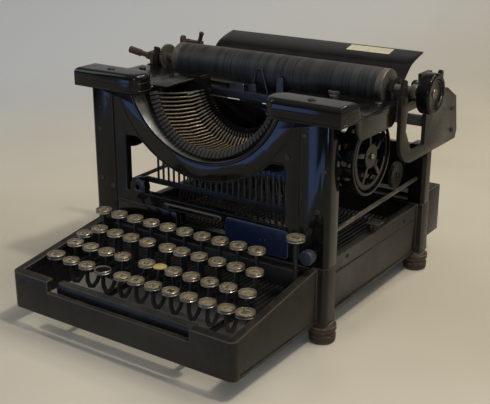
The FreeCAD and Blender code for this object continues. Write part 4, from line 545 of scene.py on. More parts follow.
def scattered(name, piece, places, material, aims=None, turn=0.0, seed=7, size=1.0):
    """Copies of a piece at places, aimed along aims, made one plain mesh."""
    mesh = bpy.data.meshes.new(name)
    mesh.from_pydata([tuple(place) for place in places], [], [])
    attribute = mesh.attributes.new("aim", "FLOAT_VECTOR", "POINT")
    for i, entry in enumerate(attribute.data):
        entry.vector = tuple(aims[i]) if aims else (0.0, 0.0, 1.0)
    obj = keep(name, mesh)
    modifier = obj.modifiers.new("pieces", "NODES")
    modifier.node_group = SCATTER
    values = {"Piece": piece, "Material": material, "Size": size, "Turn": turn, "Seed": seed}
    for item in SCATTER.interface.items_tree:
        if item.item_type == "SOCKET" and item.in_out == "INPUT" and item.name in values:
            modifier[item.identifier] = values[item.name]
    baked(obj)
    smooth(obj.data, 0.7)
    return obj


def drop(*objects):
    """Remove patterns that were only copied from."""
    for obj in objects:
        bpy.data.objects.remove(obj)


def riding(obj, body, slot_name, *stands_for):
    """Fix a finished piece to its body and hide the CAD nodes it stands for; slot_name is not
    used.
    """
    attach(obj, body)
    if stands_for:
        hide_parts(*stands_for)
    return obj


# Shapes drawn here
def curve_mesh(name, curve):
    """The plain mesh of a curve or a text; the curve itself is removed."""
    source = bpy.data.objects.new(name + "_line", curve)
    bpy.context.scene.collection.objects.link(source)
    depsgraph = bpy.context.evaluated_depsgraph_get()
    mesh = bpy.data.meshes.new_from_object(source.evaluated_get(depsgraph), depsgraph=depsgraph)
    bpy.data.objects.remove(source)
    bpy.data.curves.remove(curve)
    mesh.materials.clear()
    return mesh


def swept(name, points, radius, material, sides=8, closed=False):
    """A round bar along a line of places."""
    curve = bpy.data.curves.new(name, "CURVE")
    curve.dimensions = "3D"
    curve.bevel_depth = radius * MM
    curve.bevel_resolution = max(1, sides // 4)
    curve.use_fill_caps = True
    line = curve.splines.new("POLY")
    line.points.add(len(points) - 1)
    for entry, point in zip(line.points, points):
        entry.co = (*point, 1.0)
    line.use_cyclic_u = closed
    mesh = curve_mesh(name, curve)
    mesh.name = name
    obj = keep(name, mesh, material)
    smooth(mesh, 0.8)
    return obj


def round_outline(points, radius, steps=5):
    """A flat outline with its corners rounded."""
    result = []
    count = len(points)
    for i, point in enumerate(points):
        here = Vector(point)
        before = (Vector(points[i - 1]) - here).normalized()
        after = (Vector(points[(i + 1) % count]) - here).normalized()
        half = before.angle(after) / 2
        reach = radius / math.tan(half)
        start, end = here + before * reach, here + after * reach
        for k in range(steps + 1):
            t = k / steps
            a = start.lerp(here, t)
            b = here.lerp(end, t)
            result.append(tuple(a.lerp(b, t)))
    return result


def slab(name, outline, plane, span, material, edge=0.3, segments=2):
    """A plate from a flat outline; plane names the outline's two axes."""
    axes = ["xyz".index(letter) for letter in plane]
    third = 3 - sum(axes)
    bm = bmesh.new()
    loops = []
    for level in span:
        loop = []
        for a, b in outline:
            place = [0.0, 0.0, 0.0]
            place[axes[0]], place[axes[1]], place[third] = a, b, level
            loop.append(bm.verts.new(at(*place)))
        loops.append(loop)
    low, high = loops
    bm.faces.new(low)
    bm.faces.new(high)
    for i in range(len(low)):
        k = (i + 1) % len(low)
        bm.faces.new((low[i], low[k], high[k], high[i]))
    bmesh.ops.recalc_face_normals(bm, faces=bm.faces)
    return softened(built(name, bm, material), edge, segments, 0.9)


def block(name, x, y, z, material, edge=0.4, segments=2):
    """A box from three (low, high) pairs with rounded edges."""
    return slab(name, [(x[0], y[0]), (x[1], y[0]), (x[1], y[1]), (x[0], y[1])], "xy", z, material,
                edge, segments)


def aimed(obj, place, direction):
    """Set a shape that was turned about Z at a place, with its axis along a direction."""
    turn = Vector((0, 0, 1)).rotation_difference(Vector(direction)).to_matrix().to_4x4()
    obj.data.transform(Matrix.Translation(place) @ turn)
    return obj


def islands(node):
    """(low, high) corners of each separate piece in a CAD node."""
    bm = bmesh.new()
    bm.from_mesh(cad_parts[node].data)
    bmesh.ops.remove_doubles(bm, verts=bm.verts, dist=2e-6)
    seen = set()
    found = []
    for vert in bm.verts:
        if vert in seen:
            continue
        todo = [vert]
        seen.add(vert)
        low, high = vert.co.copy(), vert.co.copy()
        while todo:
            here = todo.pop()
            for i in range(3):
                low[i] = min(low[i], here.co[i])
                high[i] = max(high[i], here.co[i])
            for edge in here.link_edges:
                other = edge.other_vert(here)
                if other not in seen:
                    seen.add(other)
                    todo.append(other)
        found.append((low, high))
    bm.free()
    return sorted(found, key=lambda pair: pair[0].x)


def screw_pattern(radius):
    """A slotted round head, standing on z = 0."""
    slot = radius * 0.16
    tall = radius * 0.32
    bm = bmesh.new()
    for side in (1, -1):
        outline = []
        start = math.asin(slot / radius)
        for i in range(15):
            turn = start + (math.pi - 2 * start) * i / 14
            outline.append((radius * math.cos(turn), side * radius * math.sin(turn)))
        rings = []
        for scale, height in ((1.0, 0.0), (1.0, tall * 0.55), (0.86, tall)):
            ring = []
            for x, y in outline:
                near = side * max(abs(y) * scale, slot)
                ring.append(bm.verts.new((x * scale * MM, near * MM, height * MM)))
            rings.append(ring)
        for low, high in zip(rings, rings[1:]):
            for i in range(len(low)):
                k = (i + 1) % len(low)
                bm.faces.new((low[i], low[k], high[k], high[i]))
        bm.faces.new(rings[-1])
    floor = [bm.verts.new((radius * MM * math.cos(math.tau * i / 20),
                           radius * MM * math.sin(math.tau * i / 20), tall * 0.35 * MM))
             for i in range(20)]
    bm.faces.new(floor)
    bmesh.ops.recalc_face_normals(bm, faces=bm.faces)
    return built("screw_head", bm)


def screws(name, radius, places, aim, seed, body="frame"):
    """Slotted screw heads at places, aimed one way and turned at random."""
    head = screw_pattern(radius)
    heads = scattered(name, head, places, SCREW_STEEL, [aim] * len(places), turn=1.5, seed=seed)
    riding(heads, body, "steel")
    drop(head)


def studs(name, profile, steps, places, aim, material, body, slot_name):
    """One small turned shape at several places, aimed one way."""
    pattern = lathe("stud", profile, steps)
    riding(scattered(name, pattern, places, material, [aim] * len(places)), body, slot_name)
    drop(pattern)


def moulding(name, places, radius, material=ENAMEL, slot_name="black_paint", closed=False):
    """A thin round bar on the frame."""
    riding(swept(name, places, radius, material, closed=closed), "frame", slot_name)


def plate(name, corners, radius, plane, span, material, body, slot_name, edge, segments=2):
    """A plate with rounded corners and edges on a body."""
    shape = slab(name, round_outline(corners, radius), plane, span, material, edge, segments)
    riding(shape, body, slot_name)


# Keys
LEGENDS = {"a": "ZX VBNM,./", "b": "ASDFG HJKL;", "c": "QWERTYUIOP-", "d": "1234 67890"}
EMPTY_KEY = ("keys_row_a", 2)
CUP_RADIUS = 7.6
BARE_DISC_LIMIT = 7.0


def legend(name, letter, place, size):
    """One character as a thin flat mesh, centred on a place and facing up."""
    curve = bpy.data.curves.new(name, "FONT")
    curve.body = letter
    curve.size = size * MM
    curve.align_x = "CENTER"
    curve.align_y = "CENTER"
    curve.extrude = 0.05 * MM
    curve.offset = 0.12 * MM
    mesh = curve_mesh(name, curve)
    mesh.transform(Matrix.Translation(place))
    return keep(name, mesh, KEY_INK)


def key_patterns():
    """The nickel cup with its rim, the card disc and the thin printed circle."""
    cup = lathe("key_cup", [(0, -3.2), (7.3, -3.2), (7.6, -3.05), (7.6, -2.45), (7.35, -2.25),
                            (7.35, -1.15), (7.6, -0.95), (7.6, -0.2), (7.4, 0.0), (6.95, 0.0),
                            (6.6, -0.2), (6.45, -1.1), (5.9, -1.15)], 32)
    face = lathe("key_card", [(6.6, -1.02), (5.0, -0.92), (3.0, -0.84), (0, -0.80)], 32)
    line = lathe("key_circle", [(5.7, -0.94), (5.7, -0.86), (5.25, -0.82), (5.25, -0.92)], 32)
    return cup, face, line


def key_row(node, body, letters):
    """Rims, cards and legends of one row of keys."""
    cup, face, line = PATTERNS
    rims, cards, prints, bare = [], [], [], []
    for i, (low, high) in enumerate(islands(node)):
        place = Vector(((low.x + high.x) / 2, (low.y + high.y) / 2, high.z))
        radius = (high.x - low.x) / 2 / MM
        if radius < BARE_DISC_LIMIT:
            bare.append((place, radius))
            continue
        rims.append(place)
        if (node, i) == EMPTY_KEY:
            # A near-black disc in the empty key's cup: painted shade, not a card.
            empty = lathe("empty_key_floor", [(6.6, -1.04), (0, -1.02)], 24, PAINTED_HOLE_SHADE)
            riding(aimed(empty, place, UP), body, "black_paint")
            continue
        cards.append(place)
        prints.append((letters[i % len(letters)], place))
    scale = 1.0 if radius < 8 else radius / CUP_RADIUS
    metal = scattered(node + "_rims", cup, rims, NICKEL, turn=3.1, seed=3, size=scale)
    riding(metal, body, "nickel", node)
    riding(scattered(node + "_cards", face, cards, KEY_FACE, seed=5, size=scale), body, "key_top")
    words = [scattered(node + "_circles", line, cards, KEY_INK, size=scale)]
    for number, (letter, place) in enumerate(prints):
        if letter != " ":
            words.append(legend(f"{node}_mark_{number}", letter,
                                place + Vector((0, -0.1, -0.76)) * MM, 8.0))
    riding(joined(node + "_legends", words), body, "key_top")
    for place, size in bare:
        disc = lathe(node + "_bare_disc", [(0, -1.4), (size - 0.6, -1.4), (size, -1.0),
                                           (size, -0.4), (size - 0.5, 0), (0, 0)], 32, BARE_FACE)
        riding(aimed(disc, place, UP), body, "key_top")


def worded_key(node, body, prefix, place, radius, texts, pitch, size, edge):
    """A key of its own with a dark stem and two lines of words on its top."""
    dressed(node, body, "steel", LEVER_STEEL, edge)
    cup, face, line = PATTERNS
    scale = radius / CUP_RADIUS
    riding(scattered(prefix + "_rim", cup, [place], NICKEL, size=scale), body, "nickel")
    riding(scattered(prefix + "_card", face, [place], KEY_FACE, size=scale), body, "key_top")
    words = [scattered(prefix + "_circle", line, [place], KEY_INK, size=scale)]
    for row, text in enumerate(texts):
        words.append(legend(f"{prefix}_mark_{row}", text,
                            place + Vector((0, pitch / 2 - row * pitch, -0.8)) * MM, size))
    riding(joined(prefix + "_legends", words), body, "key_top")


def make_keys():
    """All the key tops."""
    for row, letters in LEGENDS.items():
        key_row("keys_row_" + row, "row_" + row, letters)
    key_row("print_key", "print_key", "5")
    for side, name in ((-1, "left"), (1, "right")):
        worded_key("shift_key_" + name, "shift_" + name, "shift_key_" + name,
                   at(side * 104.3, -82, 60.3), 8.35, ("SHIFT", "KEY"), 3.2, 3.0, 0.2)
    worded_key("tall_key", "tall", "tall", at(111.5, -20, 105.3), 8.2, ("BACK", "SPACE"), 3.0,
               2.6, 0.3)


PATTERNS = key_patterns()
make_keys()
drop(*PATTERNS)


# Typebars
BAR_TILT = math.radians(12.0)
BAR_TOP = 223.0
SLUG_END = 31.5


def shade_slugs(obj):
    """Give the type slugs at the bars' free ends a near-black colour of their own: painted shade
    that lets them fade into the dark.
    """
    obj.data.materials.append(SLUG_SHADE)
    for polygon in obj.data.polygons:
        y = polygon.center.y / MM - DATUM_Y
        z = polygon.center.z / MM - BAR_TOP
        along = y * math.cos(BAR_TILT) - z * math.sin(BAR_TILT)
        polygon.material_index = 1 if along < SLUG_END else 0


def make_typebars():
    """Dull steel bars, their slugs painted near black as shade."""
    for node, body in (("typebars", "frame"), ("print_typebar", "typebar")):
        shade_slugs(dressed(node, body, "steel", BAR_STEEL, 0.15))


make_typebars()


# Front casting
def arc(centre_x, centre_z, radius, y, start, end, steps):
    """Places along an arc in a plane parallel to the front, angles in degrees."""
    places = []
    for i in range(steps + 1):
        turn = math.radians(start + (end - start) * i / steps)
        places.append(at(centre_x + radius * math.cos(turn), y,
                         centre_z + radius * math.sin(turn)))
    return places


def make_front_fittings():
    """Mouldings, the arch's lining, screws, the blue panel and the rail under the window."""
    low = math.degrees(math.asin(32.5 / 86.2))
    moulding("arch_bead", arc(0, ARCH_CENTRE_Z, 86.4, -0.2, 180 + low, 360 - low, 64), 1.1)
    moulding("arch_outer_line", arc(0, ARCH_CENTRE_Z, 101.6, 0.0, 197.5, 342.5, 64), 0.45)
    rings = []
    for radius, y in ((84.9, -0.3), (84.1, -0.9), (83.8, -0.3), (83.8, 14.0), (84.9, 14.0)):
        rings.append(arc(0, ARCH_CENTRE_Z, radius, y, 180 + low + 0.5, 360 - low - 0.5, 72))
    bm = bmesh.new()
    rows = [[bm.verts.new(place) for place in ring] for ring in rings]
    for one, two in zip(rows, rows[1:] + rows[:1]):
        for i in range(len(one) - 1):
            bm.faces.new((one[i], one[i + 1], two[i + 1], two[i]))
    for index in (0, -1):
        bm.faces.new([row[index] for row in rows])
    bmesh.ops.recalc_face_normals(bm, faces=bm.faces)
    lining = built("arch_lining", bm, GUARD_STEEL)
    smooth(lining.data, 0.5)
    riding(lining, "frame", "steel")

    for sign, name in ((1, "left"), (-1, "right")):
        places = [at(sign * x, 0.1, z)
                  for x, z in ((-87.5, 104), (-87.5, 155), (-84, 157.5), (-74, 157.5))]
        moulding("window_line_" + name, places, 0.5)
    moulding("window_sill", [at(-66, -0.1, 101.2), at(90, -0.1, 101.2)], 1.0)

    spots = [(-110.9, 186.2), (-120.1, 156.5), (-106.6, 101.7), (105.9, 185.3), (89.8, 164.0),
             (125.0, 158.1), (-120.1, 108.0), (120.0, 122.0)]
    screws("front_screws", 2.4, [at(x, 0.0, z) for x, z in spots], FORWARD, 11)
    spots = [(117.8, 110.4), (108.3, 104.3), (116.5, 98.2), (-104.0, 84.0), (-48, 86.0)]
    # The holes are lined with near black: painted shade.
    studs("front_holes", [(2.1, 0.35), (2.1, 0.0), (1.7, 0.02), (1.7, -1.5), (0, -1.5)], 20,
          [at(x, 0.0, z) for x, z in spots], FORWARD, PAINTED_HOLE_SHADE, "frame", "black_paint")

    plate("blue_panel", [(27, 73.5), (92.5, 73.5), (92.5, 99.0), (27, 99.0)], 4.0, "xz",
          (-1.6, -0.02), BLUE, "frame", "blue_paint", 0.5, 3)
    plate("window_rail", [(-41, 93.8), (24.5, 93.8), (24.5, 99.2), (-41, 99.2)], 2.6, "xz",
          (-5.0, -0.02), ENAMEL, "frame", "black_paint", 1.2, 4)
    screws("rail_screws", 1.9, [at(x, -5.0, 96.5) for x in (-36, 19)], FORWARD, 4)
    plate("left_front_plate", [(-100, 73.5), (-29, 73.5), (-29, 91.0), (-100, 91.0)], 3.0, "xz",
          (-0.9, -0.02), ENAMEL, "frame", "black_paint", 0.4)


make_front_fittings()


# Spools, covers, carriage and other details
def ring_profile(inner, outer, low, high):
    """Closed lathe profile of a flat ring."""
    return [(inner, low), (outer, low), (outer, high), (inner, high), (inner, low)]


def make_spools():
    """Open ribbon spools: a spoked outer flange, a hub and a plain inner flange."""
    for side, name in ((-1, "left"), (1, "right")):
        parts = [lathe("spool_rim", ring_profile(25.0, 29.4, -0.9, 0.0), 48, DEEP_BLACK),
                 lathe("spool_eye", ring_profile(2.7, 10.5, -0.9, 0.3), 32, DEEP_BLACK),
                 lathe("spool_barrel", ring_profile(2.7, 9.0, -10.0, -0.9), 32, DEEP_BLACK),
                 lathe("spool_inner", ring_profile(2.7, 29.4, -11.0, -10.0), 48, DEEP_BLACK),
                 lathe("spool_bead", [(28.2, 0.0), (28.8, 0.3), (29.4, 0.0)], 48, DEEP_BLACK)]
        for i in range(5):
            turn = math.tau * i / 5 + 0.4
            spoke = block("spool_spoke", (-1.9, 1.9), (9.5, 26.0), (-0.9, -0.1), DEEP_BLACK, 0.2)
            spoke.data.transform(Matrix.Rotation(turn, 4, "Z")
                                 @ Matrix.Translation((0.0, -DATUM_Y * MM, 0.0)))
            parts.append(spoke)
        spool = joined("spool_" + name, parts)
        aimed(spool, at(side * 137.4, 57.5, 159.0), (side, 0, 0))
        riding(spool, "spool_" + name, "black_castings", "ribbon_spool_" + name)

        tip = lathe("pin_tip_" + name, [(2.4, -0.6), (2.4, 0.9), (1.8, 1.5), (0, 1.7)], 20, NICKEL)
        riding(aimed(tip, at(side * 138.5, 57.5, 159.0), (side, 0, 0)), "frame", "nickel")
        lip = lathe("cup_lip_" + name, [(33.5, -2.4), (34.2, -1.9), (34.2, -0.3), (33.6, 0.1),
                                        (32.2, 0.0)], 64, DEEP_BLACK)
        riding(aimed(lip, at(side * 138.5, 57.5, 159.0), (side, 0, 0)), "frame", "black_paint")


def cover_line(side, rise, grow, rear):
    """Places along the outer side, the front and the rounded end of a top cover."""
    places = [at(side * (143.0 + grow), rear, rise), at(side * (143.0 + grow), -4.5, rise),
              at(side * 141.0, -7.0 - grow, rise)]
    middle, radius = 7.5, 14.5 + grow
    for i in range(17):
        turn = math.radians(90.0 * (1 + i / 8))
        places.append(at(side * (81.0 + radius * math.cos(turn)), middle - radius
                         * math.sin(turn), rise))
    return places


def make_cover_trim():
    """Mouldings, screws and the small shelf at the top covers."""
    for side, name in ((-1, "left"), (1, "right")):
        for number, (rise, grow, rear) in enumerate(((198.6, 0.1, 90.0), (205.6, -0.1, 21.0))):
            moulding(f"cover_line_{name}_{number}", cover_line(side, rise, grow, rear), 0.5)
        screws("cover_screws_" + name, 3.4,
               [at(side * 108.0, 6.5, 213.9), at(side * 132.0, 78.0, 199.9),
                at(side * 98.0, 40.0, 199.9)], UP, 2)
    plate("left_shelf", [(-84.5, 24.0), (-60.0, 28.0), (-60.0, 91.0), (-84.5, 91.0)], 2.0, "xy",
          (198.4, 200.0), ENAMEL, "frame", "black_paint", 0.4)


def laid_label(node, x_span, y_span):
    """A bare label that follows the top of a sheet of a CAD node."""
    sheet = BVHTree.FromObject(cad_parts[node], bpy.context.evaluated_depsgraph_get())
    bm = bmesh.new()
    rows = []
    for i in range(9):
        row = []
        for x in (x_span[0], (x_span[0] + x_span[1]) / 2, x_span[1]):
            start = at(x, y_span[0] + (y_span[1] - y_span[0]) * i / 8, 260.0)
            hit, normal, _, _ = sheet.ray_cast(start, Vector((0, 0, -1)))
            row.append(bm.verts.new(hit + normal * 0.15 * MM))
        rows.append(row)
    for low, high in zip(rows, rows[1:]):
        for k in range(2):
            bm.faces.new((low[k], low[k + 1], high[k + 1], high[k]))
    label = built("bare_label", bm, CARD)
    smooth(label.data, 1.0)
    return label


def make_print_trim():
    """The vibrator's plate, rivets, a near-black plate behind the links that paints the shade
    there, and the right cover's nut.
    """
    plate("vibrator_plate", [(-11.2, 168), (-3.6, 166), (-3.6, 198), (-11.2, 196)], 1.2, "xz",
          (90.85, 91.25), BLUE_STEEL, "vibrator", "steel", 0.1)
    studs("vibrator_rivets", [(1.4, 0.0), (1.4, 0.03), (0, 0.03)], 16,
          [at(-7.3, 90.85, z) for z in (171.5, 178.5)], FORWARD, NICKEL, "vibrator", "steel")
    studs("holder_rivets", [(1.5, 0.0), (1.4, 0.5), (0.9, 0.8), (0, 0.9)], 16,
          [at(x, 75.6, 184.0) for x in (-78, -52, 52, 78)], FORWARD, STEEL, "frame", "steel")
    # A near-black plate behind the type segment: painted shade for the dark space there.
    plate("print_shield", [(-66, 132), (66, 132), (74, 180.8), (-74, 180.8)], 8.0, "xz",
          (85.6, 87.0), DEEP_BLACK, "frame", "black_castings", 0.3)
    nut = lathe("cover_nut", [(4.2, 0.0), (4.2, 1.6), (2.4, 2.0), (2.4, 4.6), (0, 4.8)], 24, STEEL)
    aimed(nut, at(88.0, 78.0, 200.0), (0, 0, 1))
    wings = [block("nut_wing", (a, b), (77.3, 78.7), (201.4, 205.4), STEEL, 0.5)
             for a, b in ((82.5, 86.4), (89.6, 93.5))]
    riding(joined("cover_wing_nut", [nut, *wings]), "frame", "steel")


def make_carriage_trim():
    """Rings on the knob, plate screws, a tab, the handle's parts and the paper table's label."""
    knob_face = at(171.0, 110.0, 207.0)
    ring = lathe("knob_ring", [(12.6, -1.9), (12.4, -1.2), (11.6, -1.0), (10.8, -1.3),
                               (10.6, -1.9)], 48, DEEP_BLACK)
    riding(aimed(ring, knob_face, (1, 0, 0)), "platen", "knob_black")
    boss = lathe("knob_boss", [(4.6, -1.9), (4.4, -1.5), (0, -1.4)], 32, STEEL)
    riding(aimed(boss, knob_face, (1, 0, 0)), "platen", "steel")

    for side, x in ((-1, -132.0), (1, 147.0)):
        screws(f"end_screws_{side + 1}", 2.2, [at(x, 208.0, 150.0), at(x, 206.0, 172.0)],
               (side, 0, 0), 6, "carriage")
    edge = [at(x, 186.3, 226.0) for x in (-97.5, 121.5)]
    riding(swept("paper_table_bead", edge, 0.8, STEEL), "cradle", "steel")
    riding(laid_label("paper_table", (47.0, 93.0), (172.5, 184.5)), "cradle", "key_top")
    tab = slab("end_tab", round_outline([(139, 203), (151, 203), (151, 216), (139, 216)], 2.0),
               "yz", (144.3, 145.7), NICKEL, 0.3)
    stem = block("end_tab_stem", (144.0, 146.0), (143.0, 147.0), (194.5, 204.0), STEEL, 0.3)
    riding(joined("end_tab_whole", [tab, stem]), "carriage", "steel")
    grip = swept("handle_grip", [at(-158.0, 106.5, 207.9), at(-170.4, 104.1, 210.9)], 3.7, RUST,
                 16)
    collar = swept("handle_collar", [at(-146.5, 108.8, 205.5), at(-150.5, 108.0, 206.3)], 3.9,
                   RUST, 16)
    cap = lathe("handle_cap", [(6.6, -0.8), (6.9, 0.2), (6.2, 1.0), (3.0, 1.2), (2.6, 2.4),
                               (0, 2.6)], 32, RUST)
    aimed(cap, at(-141.0, 110.0, 210.0), (0, 0, 1))
    riding(joined("handle_trim", [grip, collar, cap]), "line_lever", "rusty_iron")


def make_base_trim():
    """Panel lines, holes and the small lever on the sides of the base."""
    for side, name in ((-1, "left"), (1, "right")):
        x = side * 121.0
        moulding("base_line_" + name, [at(x, y, 56.0) for y in (26.0, 192.0)], 0.7, IRON,
                 "black_castings")
        moulding("base_foot_line_" + name, [at(x, y, 22.0) for y in (-112.0, 192.0)], 0.9, IRON,
                 "black_castings")
        # The holes are lined with near black: painted shade.
        studs("base_holes_" + name, [(2.0, 0.3), (2.0, 0.0), (1.6, 0.02), (1.6, -1.5), (0, -1.5)],
              20, [at(x, 53.0, 65.0), at(x, 168.0, 62.0)], (side, 0, 0), PAINTED_HOLE_SHADE, "frame",
              "black_paint")
    stem = block("side_lever_stem", (113.0, 117.0), (104.0, 110.0), (71.5, 78.6), IRON, 0.4)
    tab = slab("side_lever_tab", round_outline([(113, 99), (126, 99), (126, 115), (113, 115)],
                                               4.0), "xy", (78.4, 80.4), IRON, 0.5)
    riding(joined("side_lever", [stem, tab]), "frame", "black_castings")


def make_rear_trim():
    """Screws and a seam on the back of the machine, and the drum's lid."""
    places = [at(x, 262.0, z) for x in (-106.0, 0.0, 106.0) for z in (36.0, 66.0)]
    places += [at(x, 207.0, z) for x in (-98.0, -30.0, 40.0, 98.0) for z in (90.0, 125.0)]
    places += [at(x, 213.0, z) for x in (-118.5, 118.5) for z in (84.0, 122.0)]
    screws("rear_screws", 3.0, places, (0, 1, 0), 9)
    seam = round_outline([(-110, 30), (110, 30), (110, 71), (-110, 71)], 5.0)
    moulding("housing_panel_line", [at(x, 262.0, z) for x, z in seam], 0.6, closed=True)
    rib = lathe("drum_lid", [(24.0, -1.2), (24.3, -0.6), (23.0, 0.1), (17.0, 0.2), (16.4, -0.1),
                             (8.0, -0.1), (7.4, 0.6), (0, 0.7)], 48, IRON)
    riding(aimed(rib, at(-66.0, 184.0, 108.0), (0, -1, 0)), "drum", "black_castings")


make_spools()
make_cover_trim()
make_print_trim()
make_carriage_trim()
make_base_trim()
make_rear_trim()


# Every CAD node keeps its shape and gets rounded edges and a finish
FINISHES = [
    ("base_frame", "frame", "black_castings", IRON, 0.9),
    ("feet", "frame", "rusty_iron", RUST, 0.6),
    ("front_frame", "frame", "black_paint", ENAMEL, 0.9),
    ("top_cover_left", "frame", "black_paint", ENAMEL, 1.4),
    ("top_cover_right", "frame", "black_paint", ENAMEL, 1.4),
    ("rear_frame", "frame", "black_paint", ENAMEL, 0.9),
    ("rear_housing", "frame", "black_paint", ENAMEL, 1.2),
    ("carriage_bridge", "frame", "black_castings", IRON, 0.6),
    ("type_segment", "frame", "black_castings", DEEP_BLACK, 0.3),
    ("type_rest", "frame", "black_castings", IRON, 0.3),
    ("basket_arms", "frame", "black_castings", IRON, 0.4),
    ("pull_links", "frame", "steel", STEEL, 0.0),
    ("print_link", "link", "steel", STEEL, 0.0),
    ("print_key_lever", "print_key", "steel", LEVER_STEEL, 0.2),
    ("levers_row_a", "row_a", "steel", LEVER_STEEL, 0.2),
    ("levers_row_b", "row_b", "steel", LEVER_STEEL, 0.2),
    ("levers_row_c", "row_c", "steel", LEVER_STEEL, 0.2),
    ("levers_row_d", "row_d", "steel", LEVER_STEEL, 0.2),
    ("lever_comb", "frame", "black_castings", IRON, 0.3),
    ("pivot_rods", "frame", "steel", STEEL, 0.2),
    ("space_bar", "space", "space_bar_wood", WOOD, 1.2),
    ("push_knob", "push", "steel", BLUE_STEEL, 0.9),
    ("card_holder", "frame", "steel", BLUE_STEEL, 0.3),
    ("ribbon_vibrator", "vibrator", "steel", BLUE_STEEL, 0.15),
    ("link_guide", "frame", "steel", LEVER_STEEL, 0.1),
    ("spool_cup_left", "frame", "black_castings", DEEP_BLACK, 0.5),
    ("spool_cup_right", "frame", "black_castings", DEEP_BLACK, 0.5),
    ("tie_rods", "frame", "steel", STEEL, 0.3),
    ("carriage_end_left", "carriage", "black_castings", IRON, 0.8),
    ("carriage_end_right", "carriage", "black_castings", IRON, 0.8),
    ("carriage_rods", "carriage", "steel", STEEL, 0.3),
    ("carriage_bar", "carriage", "black_castings", IRON, 0.3),
    ("escapement_rack", "carriage", "steel", STEEL, 0.1),
    ("platen_cradle", "cradle", "black_castings", IRON, 0.4),
    ("feed_rollers", "cradle", "black_rubber", RUBBER, 0.3),
    ("platen_roller", "platen", "black_rubber", RUBBER, 0.4),
    ("platen_shaft", "platen", "steel", STEEL, 0.3),
    ("platen_knob", "platen", "knob_black", DEEP_BLACK, 1.2),
    ("ratchet_wheel", "platen", "steel", STEEL, 0.1),
    ("paper_table", "cradle", "black_paint", ENAMEL, 0.3),
    ("line_space_lever", "line_lever", "rusty_iron", RUST, 0.8),
    ("paper_release_lever", "paper_lever", "rusty_iron", RUST, 0.4),
    ("carriage_release_left", "release_left", "rusty_iron", RUST, 0.4),
    ("carriage_release_right", "release_right", "black_paint", ENAMEL, 0.8),
    ("mainspring_drum", "drum", "black_castings", IRON, 0.4),
    ("escapement_wheel", "escapement", "brass", BRASS, 0.1),
    ("bell", "frame", "brass", BRASS, 0.3),
    ("ribbon_gear", "gear", "steel", LEVER_STEEL, 0.1),
]
for entry in FINISHES:
    dressed(*entry)


# Ground, backdrop, light and camera
def make_stage():
    """A pale floor that sweeps up behind the machine."""
    material, tree, shader, place = start_material("pale_cloth")
    cloud = ramp(tree, noise(tree, place, 2.2, 3.0, 0.5), 0.35, 0.65)
    base = mix_colour(tree, cloud, (0.47, 0.415, 0.315), (0.54, 0.48, 0.375))
    # Lighter and greyer towards the left and the back.
    far = add(tree, "ShaderNodeVectorMath", operation="DOT_PRODUCT")
    join(tree, place, far.inputs[0])
    far.inputs[1].default_value = (-0.95, 0.40, 0.2)
    base = mix_colour(tree, ramp(tree, far.outputs["Value"], 0.30, 1.15), base,
                      (0.55, 0.55, 0.54))
    join(tree, base, shader.inputs["Base Color"])
    shader.inputs["Roughness"].default_value = 0.9
    shader.inputs["Specular IOR Level"].default_value = 0.2
    # Clear from behind, so that a view from beyond the backdrop still shows the machine
    two_sided = add(tree, "ShaderNodeMixShader")
    join(tree, add(tree, "ShaderNodeNewGeometry").outputs["Backfacing"], two_sided.inputs[0])
    join(tree, shader.outputs[0], two_sided.inputs[1])
    join(tree, add(tree, "ShaderNodeBsdfTransparent").outputs[0], two_sided.inputs[2])
    join(tree, two_sided.outputs[0], tree.nodes["Material Output"].inputs["Surface"])
    bm = bmesh.new()
    bend, radius = 0.75, 0.6
    path = [(-3.0, 0.0), (bend, 0.0)]
    for i in range(1, 13):
        turn = math.radians(7.5 * i)
        path.append((bend + radius * math.sin(turn), radius - radius * math.cos(turn)))
    path.append((bend + radius, 3.5))
    rows = []
    for forward, height in path:
        rows.append([bm.verts.new((-forward * 0.569 + side * 0.822, forward * 0.822 + side * 0.569,
                                   height)) for side in (-4.0, 4.0)])
    for low, high in zip(rows, rows[1:]):
        bm.faces.new((low[0], low[1], high[1], high[0]))
    ground = built("ground", bm, material)
    smooth(ground.data, 1.0)


def lamp(name, place, target, size, power, colour=(1.0, 1.0, 1.0)):
    """A soft rectangular light aimed at a point."""
    data = bpy.data.lights.new(name, "AREA")
    data.shape = "RECTANGLE"
    data.size, data.size_y = size
    data.energy = power
    data.color = colour
    obj = bpy.data.objects.new(name, data)
    obj.location = place
    aim = Vector(target) - Vector(place)
    obj.rotation_euler = aim.to_track_quat("-Z", "Y").to_euler()
    obj.visible_camera = False
    bpy.context.scene.collection.objects.link(obj)


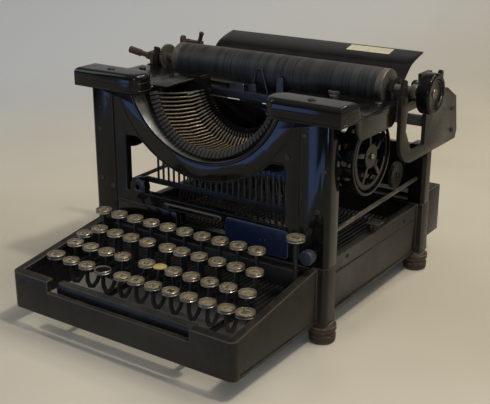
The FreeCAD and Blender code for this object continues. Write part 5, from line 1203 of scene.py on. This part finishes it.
def make_light():
    """A large lamp above the right, tall window glints in front and a dim room."""
    lamp("ceiling", (0.65, 0.45, 1.7), (0.0, 0.0, 0.05), (1.1, 0.9), 13.0, (1.0, 0.965, 0.90))
    lamp("bulb", (0.75, -0.12, 1.65), (0.0, -0.1, 0.05), (0.10, 0.10), 9.5, (1.0, 0.965, 0.90))
    lamp("rear_bulb", (0.22, 0.95, 1.40), (0.0, -0.1, 0.05), (0.14, 0.14), 3.5,
         (1.0, 0.965, 0.90))
    lamp("window", (0.85, -1.30, 0.55), (0.0, -0.1, 0.15), (0.16, 0.7), 5.0, (0.45, 0.66, 1.0))
    lamp("low_window", (-0.27, -0.62, 0.07), (0.05, -0.07, 0.20), (0.45, 0.12), 0.42,
         (0.20, 0.40, 1.0))
    lamp("left", (-1.25, -0.55, 0.95), (0.0, 0.0, 0.10), (0.5, 0.9), 2.5, (0.80, 0.88, 1.0))
    world = bpy.data.worlds.new("room")
    bpy.context.scene.world = world
    world.use_nodes = True
    tree = world.node_tree
    background = tree.nodes["Background"]
    split = tree.nodes.new("ShaderNodeSeparateXYZ")
    join(tree, tree.nodes.new("ShaderNodeTexCoord").outputs["Generated"], split.inputs[0])
    depth = ramp(tree, split.outputs["Y"], -0.6, 0.7)
    height = ramp(tree, split.outputs["Z"], -0.1, 0.8)
    light = math_node(tree, "ADD", math_node(tree, "MULTIPLY", depth, 0.6),
                      math_node(tree, "MULTIPLY", height, 0.5))
    colour = mix_colour(tree, light, (0.055, 0.060, 0.070), (0.62, 0.62, 0.60))
    join(tree, colour, background.inputs["Color"])
    background.inputs["Strength"].default_value = 0.75


def make_camera():
    """The photograph's viewpoint: to the right of the front and a little above."""
    data = bpy.data.cameras.new("camera")
    data.sensor_width = 36.0
    data.lens = 69.5
    camera = bpy.data.objects.new("camera", data)
    camera.location = (0.4877, -0.7063, 0.3921)
    aim = Vector((0.04715, -0.0705, 0.11631)) - camera.location
    camera.rotation_euler = aim.to_track_quat("-Z", "Y").to_euler()
    bpy.context.scene.collection.objects.link(camera)
    bpy.context.scene.camera = camera


make_stage()
make_light()
make_camera()
bpy.context.scene.view_settings.view_transform = "Standard"
